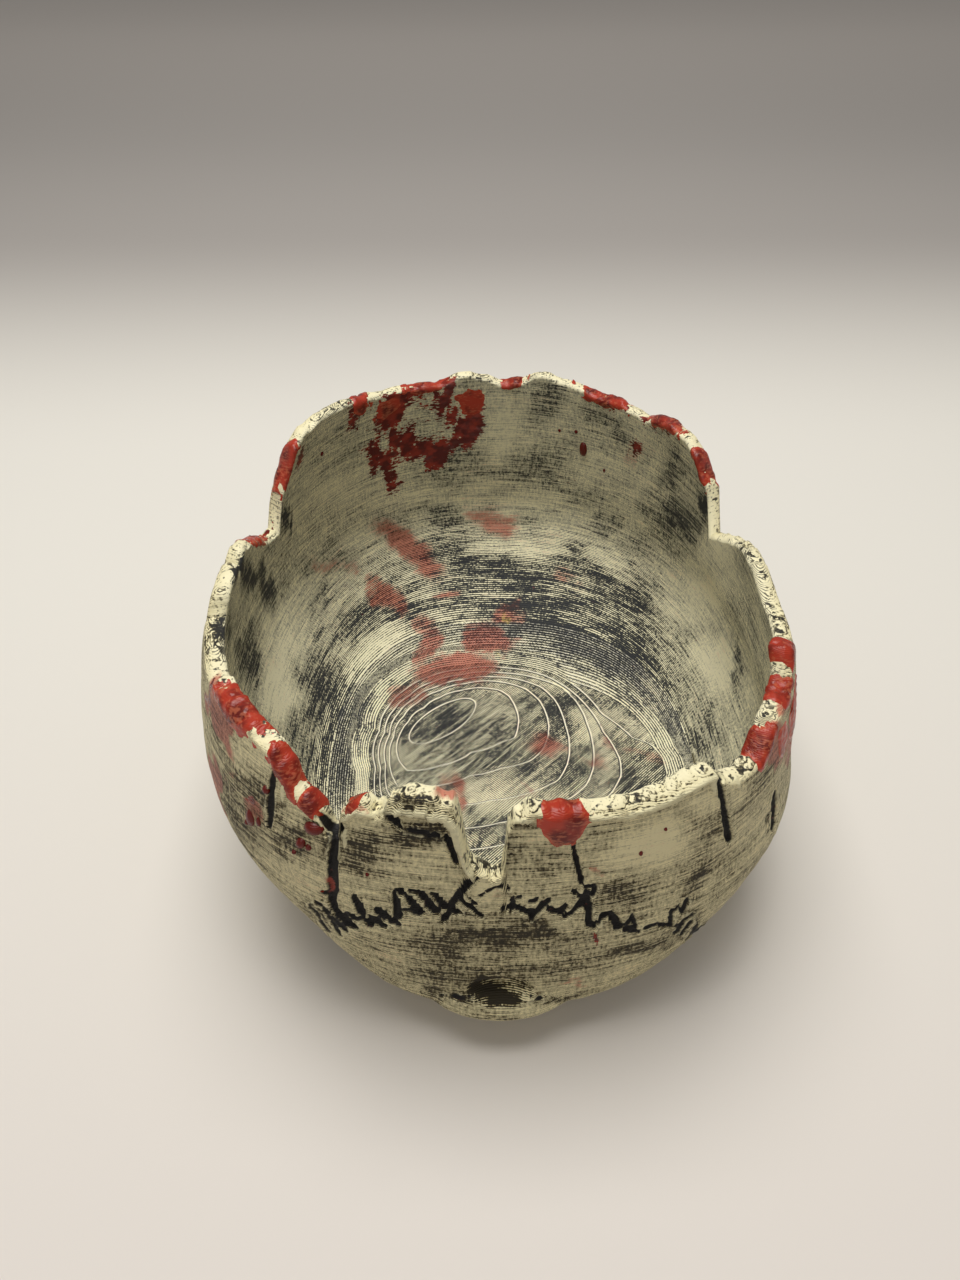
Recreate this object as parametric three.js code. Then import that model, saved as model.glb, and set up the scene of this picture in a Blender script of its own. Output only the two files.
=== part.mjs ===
// A bowl in the form of an upright human skull with its crown smashed off: one printed shell, and
// the dried runs and drops of thick gloss paint on its broken rim and walls. Millimetres. +Z is up,
// +Y points from the back of the head to the forehead, and +X to the right of someone who looks
// along +Y. Bearings are degrees round the middle of the widest section, from +X towards +Y.
import * as THREE from 'three';

// Plan of the outside. Each reach is the most that the wall gets from the middle of the widest
// section, each foot is the same at the table, each rise is the height where the wall is at its
// reach, and a higher round turns it up more squarely.
const MIDDLE_Y = -12;
const SIDE_REACH = 52;
const SIDE_FOOT = 25;
const SIDE_RISE = 29.5;
const SIDE_ROUND = 1.4;
const BACK_REACH = 51;
const BACK_FOOT = 31.5;
const BACK_RISE = 10.5;
const BACK_ROUND = 1.6;
const FRONT_REACH = 75;
const FRONT_FOOT = 38;
const FRONT_RISE = 28;
const FRONT_ROUND = 1.6;
const SQUARENESS = 2.38;

// How far the top of the wall leans in, and how far the belly swings to the right on its way up.
const LEAN_HEIGHT = 60;
const SIDE_LEAN = 5.5;
const SIDE_LEAN_CURVE = 4;
const BACK_LEAN = 3.5;
const FRONT_LEAN = 2;
const END_LEAN_CURVE = 3;
const SWAY = 2.8;
const SWAY_HEIGHT = 36;
const SWAY_SKEW = 0.7;

// Inside: a wall of even thickness over a floor that lies nearer the right and the back, with a
// long ramp up to the forehead.
const WALL = 3.2;
const SLANT = Math.SQRT1_2;
const FLOOR_HEIGHT = 7.2;
const FLOOR_LEFT = 20;
const FLOOR_RIGHT = 35;
const FLOOR_BACK = 23;
const FLOOR_FRONT = 29;
const LEFT_SLOPE = 24;
const LEFT_ROUND = 1.5;
const RIGHT_SLOPE = 16;
const RIGHT_ROUND = 1.7;
const BACK_SLOPE = 14;
const BACK_HOLLOW = 1.9;
const RAMP_RISE = 17;
const RAMP_ROUND = 1.2;

// The broken rim: its edges are rounded off by this much, and its height is given at each bearing
// where the break turns a corner.
const EDGE_DROP = 1;
const RIM = [
  [-180, 58], [-173, 58.5], [-171, 54.5], [-169, 57.4], [-160, 57], [-153, 56.4], [-147, 57.5],
  [-138, 57.8], [-131, 57], [-128.5, 55.5], [-125.5, 52.3], [-123, 50.6], [-120.8, 49], [-119.4, 46],
  [-117.4, 46], [-116.8, 51.6], [-113.4, 53.6], [-111, 52.5], [-109.6, 53.2], [-108.9, 55.8],
  [-106.5, 56.8], [-102, 57.1], [-98.9, 56], [-97.8, 53], [-97.1, 48.6], [-96.3, 45.2], [-94.5, 43.2],
  [-92.6, 42], [-91, 42.8], [-90.4, 45.2], [-90, 51.8], [-88.8, 53.7], [-86, 54.6], [-82, 54],
  [-77, 53.8], [-69, 53.9], [-64, 54.2], [-58.5, 54.7], [-55.4, 55], [-54.2, 53.3], [-51, 51.2],
  [-47.6, 50.5], [-44, 50.8], [-41.4, 52.7], [-38.9, 54.3], [-35, 55], [-31, 55.2], [-28.5, 56.6],
  [-25.5, 59], [-22.5, 58.5], [-19.5, 54.2], [-10, 53], [0, 52.6], [8.6, 54.3], [16, 53.8], [25, 50.4],
  [32, 46.5], [35.6, 44.5], [36.6, 55.4], [39.5, 57.2], [41, 60.4], [44.5, 62.3], [50.8, 62], [56, 61],
  [58.5, 59.3], [60.5, 60], [64.3, 59.3], [69, 59.7], [74, 60.5], [78.4, 61.8], [81.5, 62],
  [83.5, 60.3], [86.9, 59.3], [90, 60.4], [93.5, 61.8], [96.4, 61.2], [98.6, 59.9], [106, 59.8],
  [112.3, 60.3], [119, 62], [124.5, 62.7], [131, 62.5], [135, 61], [136.8, 57], [138.6, 54.5],
  [140, 52.5], [141, 44.2], [144.5, 44.2], [148, 46.4], [153, 50], [160, 53.6], [165, 55.8],
  [168.5, 55.4], [170.5, 52], [172.5, 57], [180, 58],
];

// The bump at the back of the head and the pit over it: bearing, height, half width, half height,
// and how far it stands out or sinks in.
const BUMP = { bearing: -90.6, height: 9.5, halfWidth: 8, halfHeight: 5, out: 2.6 };
const PIT = { bearing: -90.6, height: 15.2, halfWidth: 5.6, halfHeight: 2.8, out: -2.4 };

// Cracks that run down the outside from the rim: top and bottom bearing, top and bottom height.
const CRACK_DEPTH = 1;
const CRACK_HALF_ANGLE = 0.9;
const CRACKS = [
  { topBearing: -118.4, topHeight: 50, bottomBearing: -118.5, bottomHeight: 30 },
  { topBearing: -128.8, topHeight: 58, bottomBearing: -131.6, bottomHeight: 38 },
  { topBearing: -79.2, topHeight: 50, bottomBearing: -76, bottomHeight: 30 },
  { topBearing: -54.8, topHeight: 56, bottomBearing: -51, bottomHeight: 39 },
  { topBearing: -36.8, topHeight: 40, bottomBearing: -36.4, bottomHeight: 29 },
];

// The shell's points stand in columns, whose widest and narrowest gaps are in degrees. The low rows
// are heights above the table outside and above the floor inside. Across the rim, -1 is its outer
// edge and 1 its inner edge; past them the number is the depth below that edge, plus 1.
const WIDEST_GAP = 5.5;
const NARROWEST_GAP = 0.35;
const OUTSIDE_ROWS = [0, 2, 6, 10, 14, 17.5, 24];
const INSIDE_ROWS = [0, 0.8, 2.3, 4.8, 9.8, 17.8];
const ROW_ROOM = 1.1;
const ACROSS = [-13, -8, -4.5, -2, -1, -0.5, 0, 0.5, 1, 2, 4.5, 8, 13];

// Dried paint: its clearance to the shell, the thickness of its edges, the rows of points across a
// run that doesn't go over the rim, and the step that finds which way the wall faces.
const PAINT_CLEARANCE = 0.3;
const PAINT_EDGE = 0.3;
const WALL_RUN_SHARES = [0, 0.25, 0.5, 0.75, 1];
const FACING_STEP = 0.2;

// Each run covers the wall between two bearings. outer and inner are its two edges, as places
// across the rim, at its start, middle and end, and thick is the most that it swells to.
const RUNS = [
  {
    name: 'front_drip', from: -85.4, to: -76.6,
    outer: [-1.6, -6.4, -2.6], inner: [1.2, 1.6, 1.2], thick: 1.3,
  },
  {
    name: 'right_rim_patch', from: -45, to: -39.4,
    outer: [-1.4, -3, -2], inner: [1.2, 1.6, 1.2], thick: 1,
  },
  {
    name: 'right_side_run', from: -38, to: -33,
    outer: [-5, -9.6, -6], inner: [-3.4, -2.6, -2.8], thick: 0.7,
  },
  {
    name: 'right_back_run', from: -31.5, to: -24.5,
    outer: [-6, -13, -7], inner: [-4.6, -4.2, -4.6], thick: 0.7,
  },
  {
    name: 'right_ridge_run', from: -35.2, to: -28.9,
    outer: [-1.2, -1.7, -1.2], inner: [1.2, 1.7, 1.2], thick: 0.9,
  },
  {
    name: 'right_knob_run', from: -28, to: -21.4,
    outer: [-1.3, -3, -1.3], inner: [1.3, 2.2, 1.3], thick: 1.2,
  },
  {
    name: 'right_bay_run', from: 37.4, to: 42.6,
    outer: [-1.2, -1.4, -1.2], inner: [1.2, 2.2, 1.2], thick: 0.9,
  },
  {
    name: 'right_brow_run', from: 47.5, to: 57.5,
    outer: [-1.2, -1.4, -1.2], inner: [1.2, 1.8, 1.2], thick: 0.8,
  },
  {
    name: 'brow_right_run', from: 63, to: 73.6,
    outer: [-1.2, -1.5, -1.2], inner: [1.2, 2, 1.2], thick: 1.1,
  },
  {
    name: 'brow_dip_run', from: 83, to: 88.2,
    outer: [-1.2, -1.4, -1.2], inner: [1.2, 1.5, 1.2], thick: 0.8,
  },
  {
    name: 'brow_splash', from: 90.4, to: 95.6,
    outer: [4, 2.8, 3.6], inner: [6, 10.6, 7], thick: 0.8,
  },
  {
    name: 'brow_left_run', from: 97.4, to: 105.2,
    outer: [-1.2, -1.3, -1.2], inner: [1.2, 1.5, 1.2], thick: 0.9,
  },
  {
    name: 'brow_left_pool', from: 106, to: 112.2,
    outer: [1.4, 1.2, 1.4], inner: [3, 6.2, 5], thick: 1,
  },
  {
    name: 'left_corner_run', from: 113.2, to: 116.8,
    outer: [-1.2, -1.3, -1.2], inner: [1.2, 3.4, 1.2], thick: 0.8,
  },
  {
    name: 'left_bay_run', from: 133.6, to: 139.4,
    outer: [-1.2, -1.5, -1.2], inner: [1.2, 1.8, 1.2], thick: 1,
  },
  {
    name: 'left_shoulder_run', from: 146.4, to: 158,
    outer: [-1.2, -1.4, -1.2], inner: [1.2, 1.4, 1.2], thick: 0.8,
  },
  {
    name: 'left_band', from: -148.5, to: -133.8,
    outer: [-1.2, -2, -1.2], inner: [1.2, 1.6, 1.2], thick: 1.1,
  },
  {
    name: 'left_rim_run', from: -131, to: -125.2,
    outer: [-1.2, -2.6, -1.2], inner: [1.2, 1.7, 1.2], thick: 1.1,
  },
  {
    name: 'left_clot', from: -124.6, to: -121,
    outer: [-1.1, -1.2, -1.1], inner: [1.2, 2, 1.2], thick: 0.9,
  },
  {
    name: 'left_tip_run', from: -116.4, to: -113.6,
    outer: [-1.1, -1.3, -1.1], inner: [1.1, 1.3, 1.1], thick: 0.7,
  },
];

// Single drops: bearing, depth below the rim, half sizes along and up the wall, and which side.
const DROP_THICK = 0.9;
const DROP_SIDES = 10;
const DROPS = [
  { name: 'drop_by_crack', bearing: -121.6, below: 2.8, halfWidth: 1.5, halfHeight: 1.1, inside: false },
  { name: 'drop_left_of_crack', bearing: -124, below: 8.5, halfWidth: 0.8, halfHeight: 1, inside: false },
  { name: 'drop_left_low', bearing: -135.4, below: 16.5, halfWidth: 0.9, halfHeight: 1.6, inside: false },
  { name: 'drop_inside', bearing: 71.6, below: 15.1, halfWidth: 0.9, halfHeight: 1.9, inside: true },
];

const BONE_COLOUR = 0xd8d2ae;
const PAINT_COLOUR = 0x8a1812;

const bone = new THREE.MeshStandardMaterial({ color: BONE_COLOUR, roughness: 0.75, metalness: 0 });
const paint = new THREE.MeshStandardMaterial({ color: PAINT_COLOUR, roughness: 0.2, metalness: 0 });

const toRadians = THREE.MathUtils.degToRad;

function mix(a, b, share) {
  return a + (b - a) * share;
}

// Distance from the middle at a height: from its foot, swelling out to its full reach.
function swell(height, foot, reach, rise, round) {
  const share = THREE.MathUtils.clamp(height / rise, 0, 1);
  return mix(foot, reach, (1 - (1 - share) ** round) ** (1 / round));
}

function outsideReach(z) {
  const lean = z / LEAN_HEIGHT;
  const sway = SWAY * Math.sin(Math.PI * THREE.MathUtils.clamp(z / SWAY_HEIGHT, 0, 1) ** SWAY_SKEW);
  const side = swell(z, SIDE_FOOT, SIDE_REACH, SIDE_RISE, SIDE_ROUND) - SIDE_LEAN * lean ** SIDE_LEAN_CURVE;
  return {
    left: side - sway,
    right: side + sway,
    back: swell(z, BACK_FOOT, BACK_REACH, BACK_RISE, BACK_ROUND) - BACK_LEAN * lean ** END_LEAN_CURVE,
    front: swell(z, FRONT_FOOT, FRONT_REACH, FRONT_RISE, FRONT_ROUND) - FRONT_LEAN * lean ** END_LEAN_CURVE,
  };
}

// The furthest that the cavity may reach with a full wall left: level, slanting and downwards.
function cavityLimit(z, side) {
  const level = outsideReach(z)[side] - WALL;
  const slanting = outsideReach(Math.max(z - WALL * SLANT, 0))[side] - WALL * SLANT;
  const below = outsideReach(Math.max(z - WALL, 0))[side];
  return Math.min(level, slanting, below);
}

function cavityReach(z) {
  const height = z - FLOOR_HEIGHT;
  const full = {
    left: swell(height, FLOOR_LEFT, SIDE_REACH, LEFT_SLOPE, LEFT_ROUND),
    right: swell(height, FLOOR_RIGHT, SIDE_REACH, RIGHT_SLOPE, RIGHT_ROUND),
    back: swell(height, FLOOR_BACK, BACK_REACH, BACK_SLOPE, BACK_HOLLOW),
    front: swell(height, FLOOR_FRONT, FRONT_REACH - WALL, RAMP_RISE, RAMP_ROUND),
  };
  return {
    left: Math.min(full.left, cavityLimit(z, 'left')),
    right: Math.min(full.right, cavityLimit(z, 'right')),
    back: Math.min(full.back, cavityLimit(z, 'back')),
    front: Math.min(full.front, cavityLimit(z, 'front')),
  };
}

// Radius of a level section at a bearing: four quarters of a slightly squared oval.
function sectionRadius(bearing, reach) {
  const cosine = Math.cos(toRadians(bearing));
  const sine = Math.sin(toRadians(bearing));
  const across = Math.abs(cosine) / (cosine > 0 ? reach.right : reach.left);
  const along = Math.abs(sine) / (sine > 0 ? reach.front : reach.back);
  return (across ** SQUARENESS + along ** SQUARENESS) ** (-1 / SQUARENESS);
}

function rimHeight(bearing) {
  const next = Math.max(RIM.findIndex(([at]) => at >= bearing), 1);
  const [fromBearing, fromHeight] = RIM[next - 1];
  const [toBearing, toHeight] = RIM[next];
  return mix(fromHeight, toHeight, (bearing - fromBearing) / (toBearing - fromBearing));
}

// A smooth mound or dent, given by its place and half sizes.
function mound(feature, bearing, z, radius) {
  const across = (toRadians(bearing - feature.bearing) * radius) / feature.halfWidth;
  const up = (z - feature.height) / feature.halfHeight;
  const share = 1 - across ** 2 - up ** 2;
  return share > 0 ? feature.out * Math.sqrt(share) : 0;
}

function crackBearing(crack, z) {
  const share = (z - crack.bottomHeight) / (crack.topHeight - crack.bottomHeight);
  return mix(crack.bottomBearing, crack.topBearing, share);
}

function crackDepth(bearing, z) {
  let depth = 0;
  for (const crack of CRACKS) {
    if (z > crack.bottomHeight && z < crack.topHeight) {
      const away = Math.abs(bearing - crackBearing(crack, z)) / CRACK_HALF_ANGLE;
      depth = Math.max(depth, CRACK_DEPTH * (1 - away));
    }
  }
  return depth;
}

// The outside with its cracks filled, which is what the paint lies on.
function skinRadius(bearing, z) {
  const plain = sectionRadius(bearing, outsideReach(z));
  return plain + mound(BUMP, bearing, z, plain) + mound(PIT, bearing, z, plain);
}

function outsideRadius(bearing, z) {
  return skinRadius(bearing, z) - crackDepth(bearing, z);
}

function cavityRadius(bearing, z) {
  return sectionRadius(bearing, cavityReach(z));
}

function place(bearing, radius, z) {
  const angle = toRadians(bearing);
  return new THREE.Vector3(radius * Math.cos(angle), MIDDLE_Y + radius * Math.sin(angle), z);
}

// A point on the rim or on the wall just below it, on either side.
function rimPoint(bearing, across, outerRadius) {
  const turn = THREE.MathUtils.clamp(across, -1, 1) * Math.PI / 2;
  const depth = Math.max(Math.abs(across) - 1, 0);
  const z = rimHeight(bearing) - EDGE_DROP * (1 - Math.cos(turn)) - depth;
  const share = (1 + Math.sin(turn)) / 2;
  return place(bearing, mix(outerRadius(bearing, z), cavityRadius(bearing, z), share), z);
}

// The bearings of the shell's columns: every corner of the rim, both sides and the bottom of every
// crack, and more between them where they are far apart.
function columnBearings() {
  const wanted = RIM.map(([at]) => at).slice(1);
  for (const crack of CRACKS) {
    for (const at of [crack.topBearing, crack.bottomBearing]) {
      wanted.push(at - CRACK_HALF_ANGLE, at, at + CRACK_HALF_ANGLE);
    }
  }
  wanted.sort((a, b) => a - b);
  const columns = [];
  let last = -180;
  for (const at of wanted) {
    const pieces = Math.ceil((at - last) / WIDEST_GAP);
    for (let piece = 1; piece <= pieces; piece += 1) {
      columns.push(mix(last, at, piece / pieces));
    }
    last = at;
  }
  return thinned(columns);
}

// The same list without columns that lie too close to the one before.
function thinned(columns) {
  return columns.filter((at, index) => {
    const gap = at - (columns[index - 1] ?? -180);
    return gap >= NARROWEST_GAP || rimCorner(at);
  });
}

function rimCorner(bearing) {
  return RIM.some(([at]) => at === bearing);
}

// The heights of the low rows and of one more, halfway from them to the band below the rim. They
// are squeezed together where the break comes down close to them.
function lowHeights(rows, bottom, band) {
  const highest = Math.max(...rows);
  const squeeze = Math.min((band - bottom) / (highest * ROW_ROOM), 1);
  const halfway = (bottom + highest * squeeze + band) / 2;
  return [...rows.map((row) => bottom + row * squeeze), halfway];
}

// One line of points in each column: up the outside, over the rim and down to the floor.
function wallColumn(bearing) {
  const band = rimHeight(bearing) - EDGE_DROP - Math.max(...ACROSS) + 1;
  const outside = lowHeights(OUTSIDE_ROWS, 0, band);
  const inside = lowHeights(INSIDE_ROWS, FLOOR_HEIGHT, band).reverse();
  return [
    ...outside.map((z) => place(bearing, outsideRadius(bearing, z), z)),
    ...ACROSS.map((across) => rimPoint(bearing, across, outsideRadius)),
    ...inside.map((z) => place(bearing, cavityRadius(bearing, z), z)),
  ];
}

// A closed body from points and triangles.
function solid(points, triangles) {
  const geometry = new THREE.BufferGeometry();
  geometry.setFromPoints(points);
  geometry.setIndex(triangles);
  geometry.computeVertexNormals();
  return geometry;
}

function named(name, geometry, material) {
  const mesh = new THREE.Mesh(geometry, material);
  mesh.name = name;
  return mesh;
}

function shell() {
  const columns = columnBearings().map(wallColumn);
  const rows = columns[0].length;
  const points = columns.flat();
  const triangles = [];
  const foot = points.push(new THREE.Vector3(0, MIDDLE_Y, 0)) - 1;
  const floor = points.push(new THREE.Vector3(0, MIDDLE_Y, FLOOR_HEIGHT)) - 1;
  columns.forEach((column, index) => {
    const here = index * rows;
    const next = ((index + 1) % columns.length) * rows;
    for (let row = 0; row < rows - 1; row += 1) {
      triangles.push(here + row, next + row, here + row + 1);
      triangles.push(next + row, next + row + 1, here + row + 1);
    }
    triangles.push(foot, next, here);
    triangles.push(floor, here + rows - 1, next + rows - 1);
  });
  return named('skull_shell', solid(points, triangles), bone);
}

// The value at a share of the way along three values at the start, middle and end, on one curve.
function along(three, share) {
  const [start, middle, end] = three;
  const ends = mix(start, end, share);
  const bulge = middle - (start + end) / 2;
  return ends + bulge * Math.sin(Math.PI * share);
}

// Which way the wall faces at a point of the rim, from a small step each way along and across it.
function facing(bearing, across) {
  const at = (turn, over) => rimPoint(bearing + turn, across + over, skinRadius);
  const alongWall = at(FACING_STEP, 0).sub(at(-FACING_STEP, 0));
  const acrossWall = at(0, FACING_STEP).sub(at(0, -FACING_STEP));
  return alongWall.cross(acrossWall).normalize();
}

// A sheet of paint as a closed body: its underside follows the wall, and its face swells over it.
function sheet(under, over, columns, rows) {
  const points = [...under, ...over];
  const triangles = [];
  const top = under.length;
  const quad = (a, b, c, d) => triangles.push(a, b, c, a, c, d);
  for (let column = 0; column < columns - 1; column += 1) {
    for (let row = 0; row < rows - 1; row += 1) {
      const a = column * rows + row;
      const b = a + rows;
      quad(top + a, top + b, top + b + 1, top + a + 1);
      quad(a, a + 1, b + 1, b);
    }
    const first = column * rows;
    const last = first + rows - 1;
    quad(first, first + rows, top + first + rows, top + first);
    quad(last + rows, last, top + last, top + last + rows);
  }
  for (let row = 0; row < rows - 1; row += 1) {
    const end = (columns - 1) * rows + row;
    quad(row + 1, row, top + row, top + row + 1);
    quad(end, end + 1, top + end + 1, top + end);
  }
  return solid(points, triangles);
}

// Places across the rim from the outer to the inner edge of a run. Where the run goes over the rim
// it follows the rim's own points, and elsewhere it is divided evenly.
function placesAcross(outer, inner) {
  if (outer < -1 && inner > 1) {
    return [outer, (outer - 1) / 2, ...ACROSS.filter((at) => Math.abs(at) <= 1), (inner + 1) / 2, inner];
  }
  return WALL_RUN_SHARES.map((share) => mix(outer, inner, share));
}

function paintRun(run) {
  const inner = columnBearings().filter((at) => at > run.from && at < run.to);
  const bearings = [run.from, ...inner, run.to];
  const under = [];
  const over = [];
  for (const bearing of bearings) {
    const share = (bearing - run.from) / (run.to - run.from);
    const places = placesAcross(along(run.outer, share), along(run.inner, share));
    for (const across of places) {
      const up = (across - places[0]) / (places.at(-1) - places[0]);
      const swelling = Math.sqrt(Math.max(Math.sin(Math.PI * share) * Math.sin(Math.PI * up), 0));
      const normal = facing(bearing, across);
      const point = rimPoint(bearing, across, skinRadius).addScaledVector(normal, PAINT_CLEARANCE);
      under.push(point);
      over.push(point.clone().addScaledVector(normal, mix(PAINT_EDGE, run.thick, swelling)));
    }
  }
  return named(run.name, sheet(under, over, bearings.length, under.length / bearings.length), paint);
}

// A round drop on the wall: a flat back, a rim that stands a little off it, and a crown.
function paintDrop(drop) {
  const radiusAt = drop.inside ? cavityRadius : outsideRadius;
  const out = drop.inside ? -1 : 1;
  const height = rimHeight(drop.bearing) - drop.below;
  const middle = radiusAt(drop.bearing, height);
  const spot = (turn, lift) => {
    const bearing = drop.bearing + THREE.MathUtils.radToDeg((drop.halfWidth * Math.cos(turn)) / middle);
    const z = height + drop.halfHeight * Math.sin(turn);
    return place(bearing, radiusAt(bearing, z) + out * lift, z);
  };
  const back = place(drop.bearing, middle + out * PAINT_CLEARANCE, height);
  const crown = place(drop.bearing, middle + out * (PAINT_CLEARANCE + DROP_THICK), height);
  const points = [back, crown];
  const triangles = [];
  for (let side = 0; side < DROP_SIDES; side += 1) {
    const turn = out * side * 2 * Math.PI / DROP_SIDES;
    points.push(spot(turn, PAINT_CLEARANCE), spot(turn, PAINT_CLEARANCE + PAINT_EDGE));
    const low = 2 + side * 2;
    const next = 2 + ((side + 1) % DROP_SIDES) * 2;
    triangles.push(0, next, low, 1, low + 1, next + 1);
    triangles.push(low, next, next + 1, low, next + 1, low + 1);
  }
  return named(drop.name, solid(points, triangles), paint);
}

const bowl = new THREE.Group();
bowl.add(shell());
const driedPaint = new THREE.Group();
driedPaint.add(...RUNS.map(paintRun), ...DROPS.map(paintDrop));
bowl.add(driedPaint);

export default bowl;
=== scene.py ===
"""Looks of a bowl shaped like an upright skull with its crown smashed off.

The bowl is one plastic print in fine level layers, painted by hand: a dark wash, dry-brushed bone
cream, and thin and thick gloss red. Lengths are millimetres until a mesh is made, and bearings are
degrees round the middle of the bowl, from +X towards +Y. Places given as (column, row) are pixels of
the 960 x 1280 photograph, and are carried to the surface through the photograph's camera.
"""
import itertools
import math

import bpy
import numpy as np
from mathutils import Matrix


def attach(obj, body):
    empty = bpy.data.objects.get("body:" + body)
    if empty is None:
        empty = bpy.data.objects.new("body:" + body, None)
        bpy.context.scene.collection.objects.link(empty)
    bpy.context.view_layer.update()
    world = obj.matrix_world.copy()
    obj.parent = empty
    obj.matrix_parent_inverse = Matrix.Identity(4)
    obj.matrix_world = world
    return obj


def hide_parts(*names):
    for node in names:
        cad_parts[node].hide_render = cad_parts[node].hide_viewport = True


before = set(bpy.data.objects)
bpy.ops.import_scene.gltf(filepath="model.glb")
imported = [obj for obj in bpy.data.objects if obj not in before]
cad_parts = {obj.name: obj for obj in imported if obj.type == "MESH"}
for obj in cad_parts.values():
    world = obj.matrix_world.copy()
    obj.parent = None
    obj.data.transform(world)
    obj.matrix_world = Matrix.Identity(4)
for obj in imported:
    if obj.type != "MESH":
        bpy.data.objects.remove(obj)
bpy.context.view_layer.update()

MM = 0.001

# Unevenness, as (most, lump size, seed) for each size of lump. A chip has a level too, and only what
# stands over that level is chipped away.
TEETH = ((0.4, 3.4, 3), (0.3, 1.5, 4), (0.16, 0.7, 5))
CRUMBLE = ((0.34, 2.6, 7), (0.12, 1.1, 8), (0.05, 0.5, 9))
CHIPS = ((0.9, 1.5, 10, 0.25), (0.6, 0.8, 11, 0.3))
STROKE_FRAY = ((1.1, 0.8, 21), (0.7, 0.4, 22))
SKIN_SWELL = ((0.12, 4.5, 31), (0.06, 1.6, 32))
EDGE_WOBBLE = ((0.06, 3.0, 41), (0.04, 1.1, 42))
PAINT_LUMPS = ((0.1, 2.6, 51), (0.35, 1.1, 52), (0.3, 0.55, 53))
PAINT_FRAY = ((1.0, 1.7, 54),)
DROP_WOBBLE = ((0.12, 0.7, 61),)
PATCH_RIGHT = ((10, 5.5, 71), (6, 2.2, 72))
PATCH_DOWN = ((8, 4.5, 73), (5, 1.8, 74))

# Large primes and bit masks that scatter whole numbers evenly.
PRIMES = (73856093, 19349663, 83492791, 2654435761)
STIR = 1274126177
LOW_32 = 0xFFFFFFFF
LOW_16 = 0xFFFF

# The photograph's camera: focal length in pixels, tilt below the horizon and turn to the right in
# degrees, and place.
FOCAL = 961.0
FRAME_WIDTH = 960
FRAME_HEIGHT = 1280
SENSOR = 36.0
TILT = math.radians(40.2)
TURN = math.radians(1.0)
CAMERA = np.array([-5.2, -142.5, 154.0])
FORWARD = np.array([math.sin(TURN) * math.cos(TILT), math.cos(TURN) * math.cos(TILT), -math.sin(TILT)])
RIGHT = np.array([math.cos(TURN), -math.sin(TURN), 0.0])
DOWN = np.cross(FORWARD, RIGHT)

# The outside: reach from the middle, reach at the table, height of the widest place and roundness.
MIDDLE_Y = -12.0
SIDE = (52, 25, 29.5, 1.4)
BACK = (51, 31.5, 10.5, 1.6)
FRONT = (75, 38, 28, 1.6)
SQUARENESS = 2.38
# Towards the top the walls lean in, by these amounts at the lean height, and on the way up both sides
# sway to the right.
LEAN_HEIGHT = 60
SIDE_LEAN = 5.5
SIDE_LEAN_CURVE = 4
BACK_LEAN = 3.5
FRONT_LEAN = 2
END_LEAN_CURVE = 3
SWAY = 2.8
SWAY_HEIGHT = 36
SWAY_SKEW = 0.7

# The inside: wall, floor outline (left, right, back, front) and how its sides rise.
WALL = 3.2
FLOOR_HEIGHT = 7.2
FLOOR = {"left": 20, "right": 35, "back": 23, "front": 29}
RISES = {"left": (52, 24, 1.5), "right": (52, 16, 1.7), "back": (51, 14, 1.9), "front": (71.8, 17, 1.2)}

# The rim: its usual reach, how far its edges are rounded, how much the break hides the layers and how
# that fades at its edges, and its height at each bearing where the break turns.
RIM_RADIUS = 50.0
EDGE_DROP = 1.0
BREAK_HIDES = 0.8
BREAK_FADE = 0.5
RIM = [
    (-180, 58), (-173, 58.5), (-171, 54.5), (-169, 57.4), (-160, 57), (-153, 56.4), (-147, 57.5),
    (-138, 57.8), (-131, 57), (-128.5, 55.5), (-125.5, 52.3), (-123, 50.6), (-120.8, 49), (-119.4, 46),
    (-117.4, 46), (-116.8, 51.6), (-113.4, 53.6), (-111, 52.5), (-109.6, 53.2), (-108.9, 55.8),
    (-106.5, 56.8), (-102, 57.1), (-98.9, 56), (-97.8, 53), (-97.1, 48.6), (-96.3, 45.2), (-94.5, 43.2),
    (-92.6, 42), (-91, 42.8), (-90.4, 45.2), (-90, 51.8), (-88.8, 53.7), (-86, 54.6), (-82, 54),
    (-77, 53.8), (-69, 53.9), (-64, 54.2), (-58.5, 54.7), (-55.4, 55), (-54.2, 53.3), (-51, 51.2),
    (-47.6, 50.5), (-44, 50.8), (-41.4, 52.7), (-38.9, 54.3), (-35, 55), (-31, 55.2), (-28.5, 56.6),
    (-25.5, 59), (-22.5, 58.5), (-19.5, 54.2), (-10, 53), (0, 52.6), (8.6, 54.3), (16, 53.8), (25, 50.4),
    (32, 46.5), (35.6, 44.5), (36.6, 55.4), (39.5, 57.2), (41, 60.4), (44.5, 62.3), (50.8, 62), (56, 61),
    (58.5, 59.3), (60.5, 60), (64.3, 59.3), (69, 59.7), (74, 60.5), (78.4, 61.8), (81.5, 62),
    (83.5, 60.3), (86.9, 59.3), (90, 60.4), (93.5, 61.8), (96.4, 61.2), (98.6, 59.9), (106, 59.8),
    (112.3, 60.3), (119, 62), (124.5, 62.7), (131, 62.5), (135, 61), (136.8, 57), (138.6, 54.5),
    (140, 52.5), (141, 44.2), (144.5, 44.2), (148, 46.4), (153, 50), (160, 53.6), (165, 55.8),
    (168.5, 55.4), (170.5, 52), (172.5, 57), (180, 58),
]

# The bump at the back of the head and the pit over it: bearing, height, half width, half height, out.
BUMP = (-90.6, 9.5, 11, 5.5, 2.4)
PIT = (-90.6, 15.2, 5.6, 2.8, -2.4)

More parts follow.
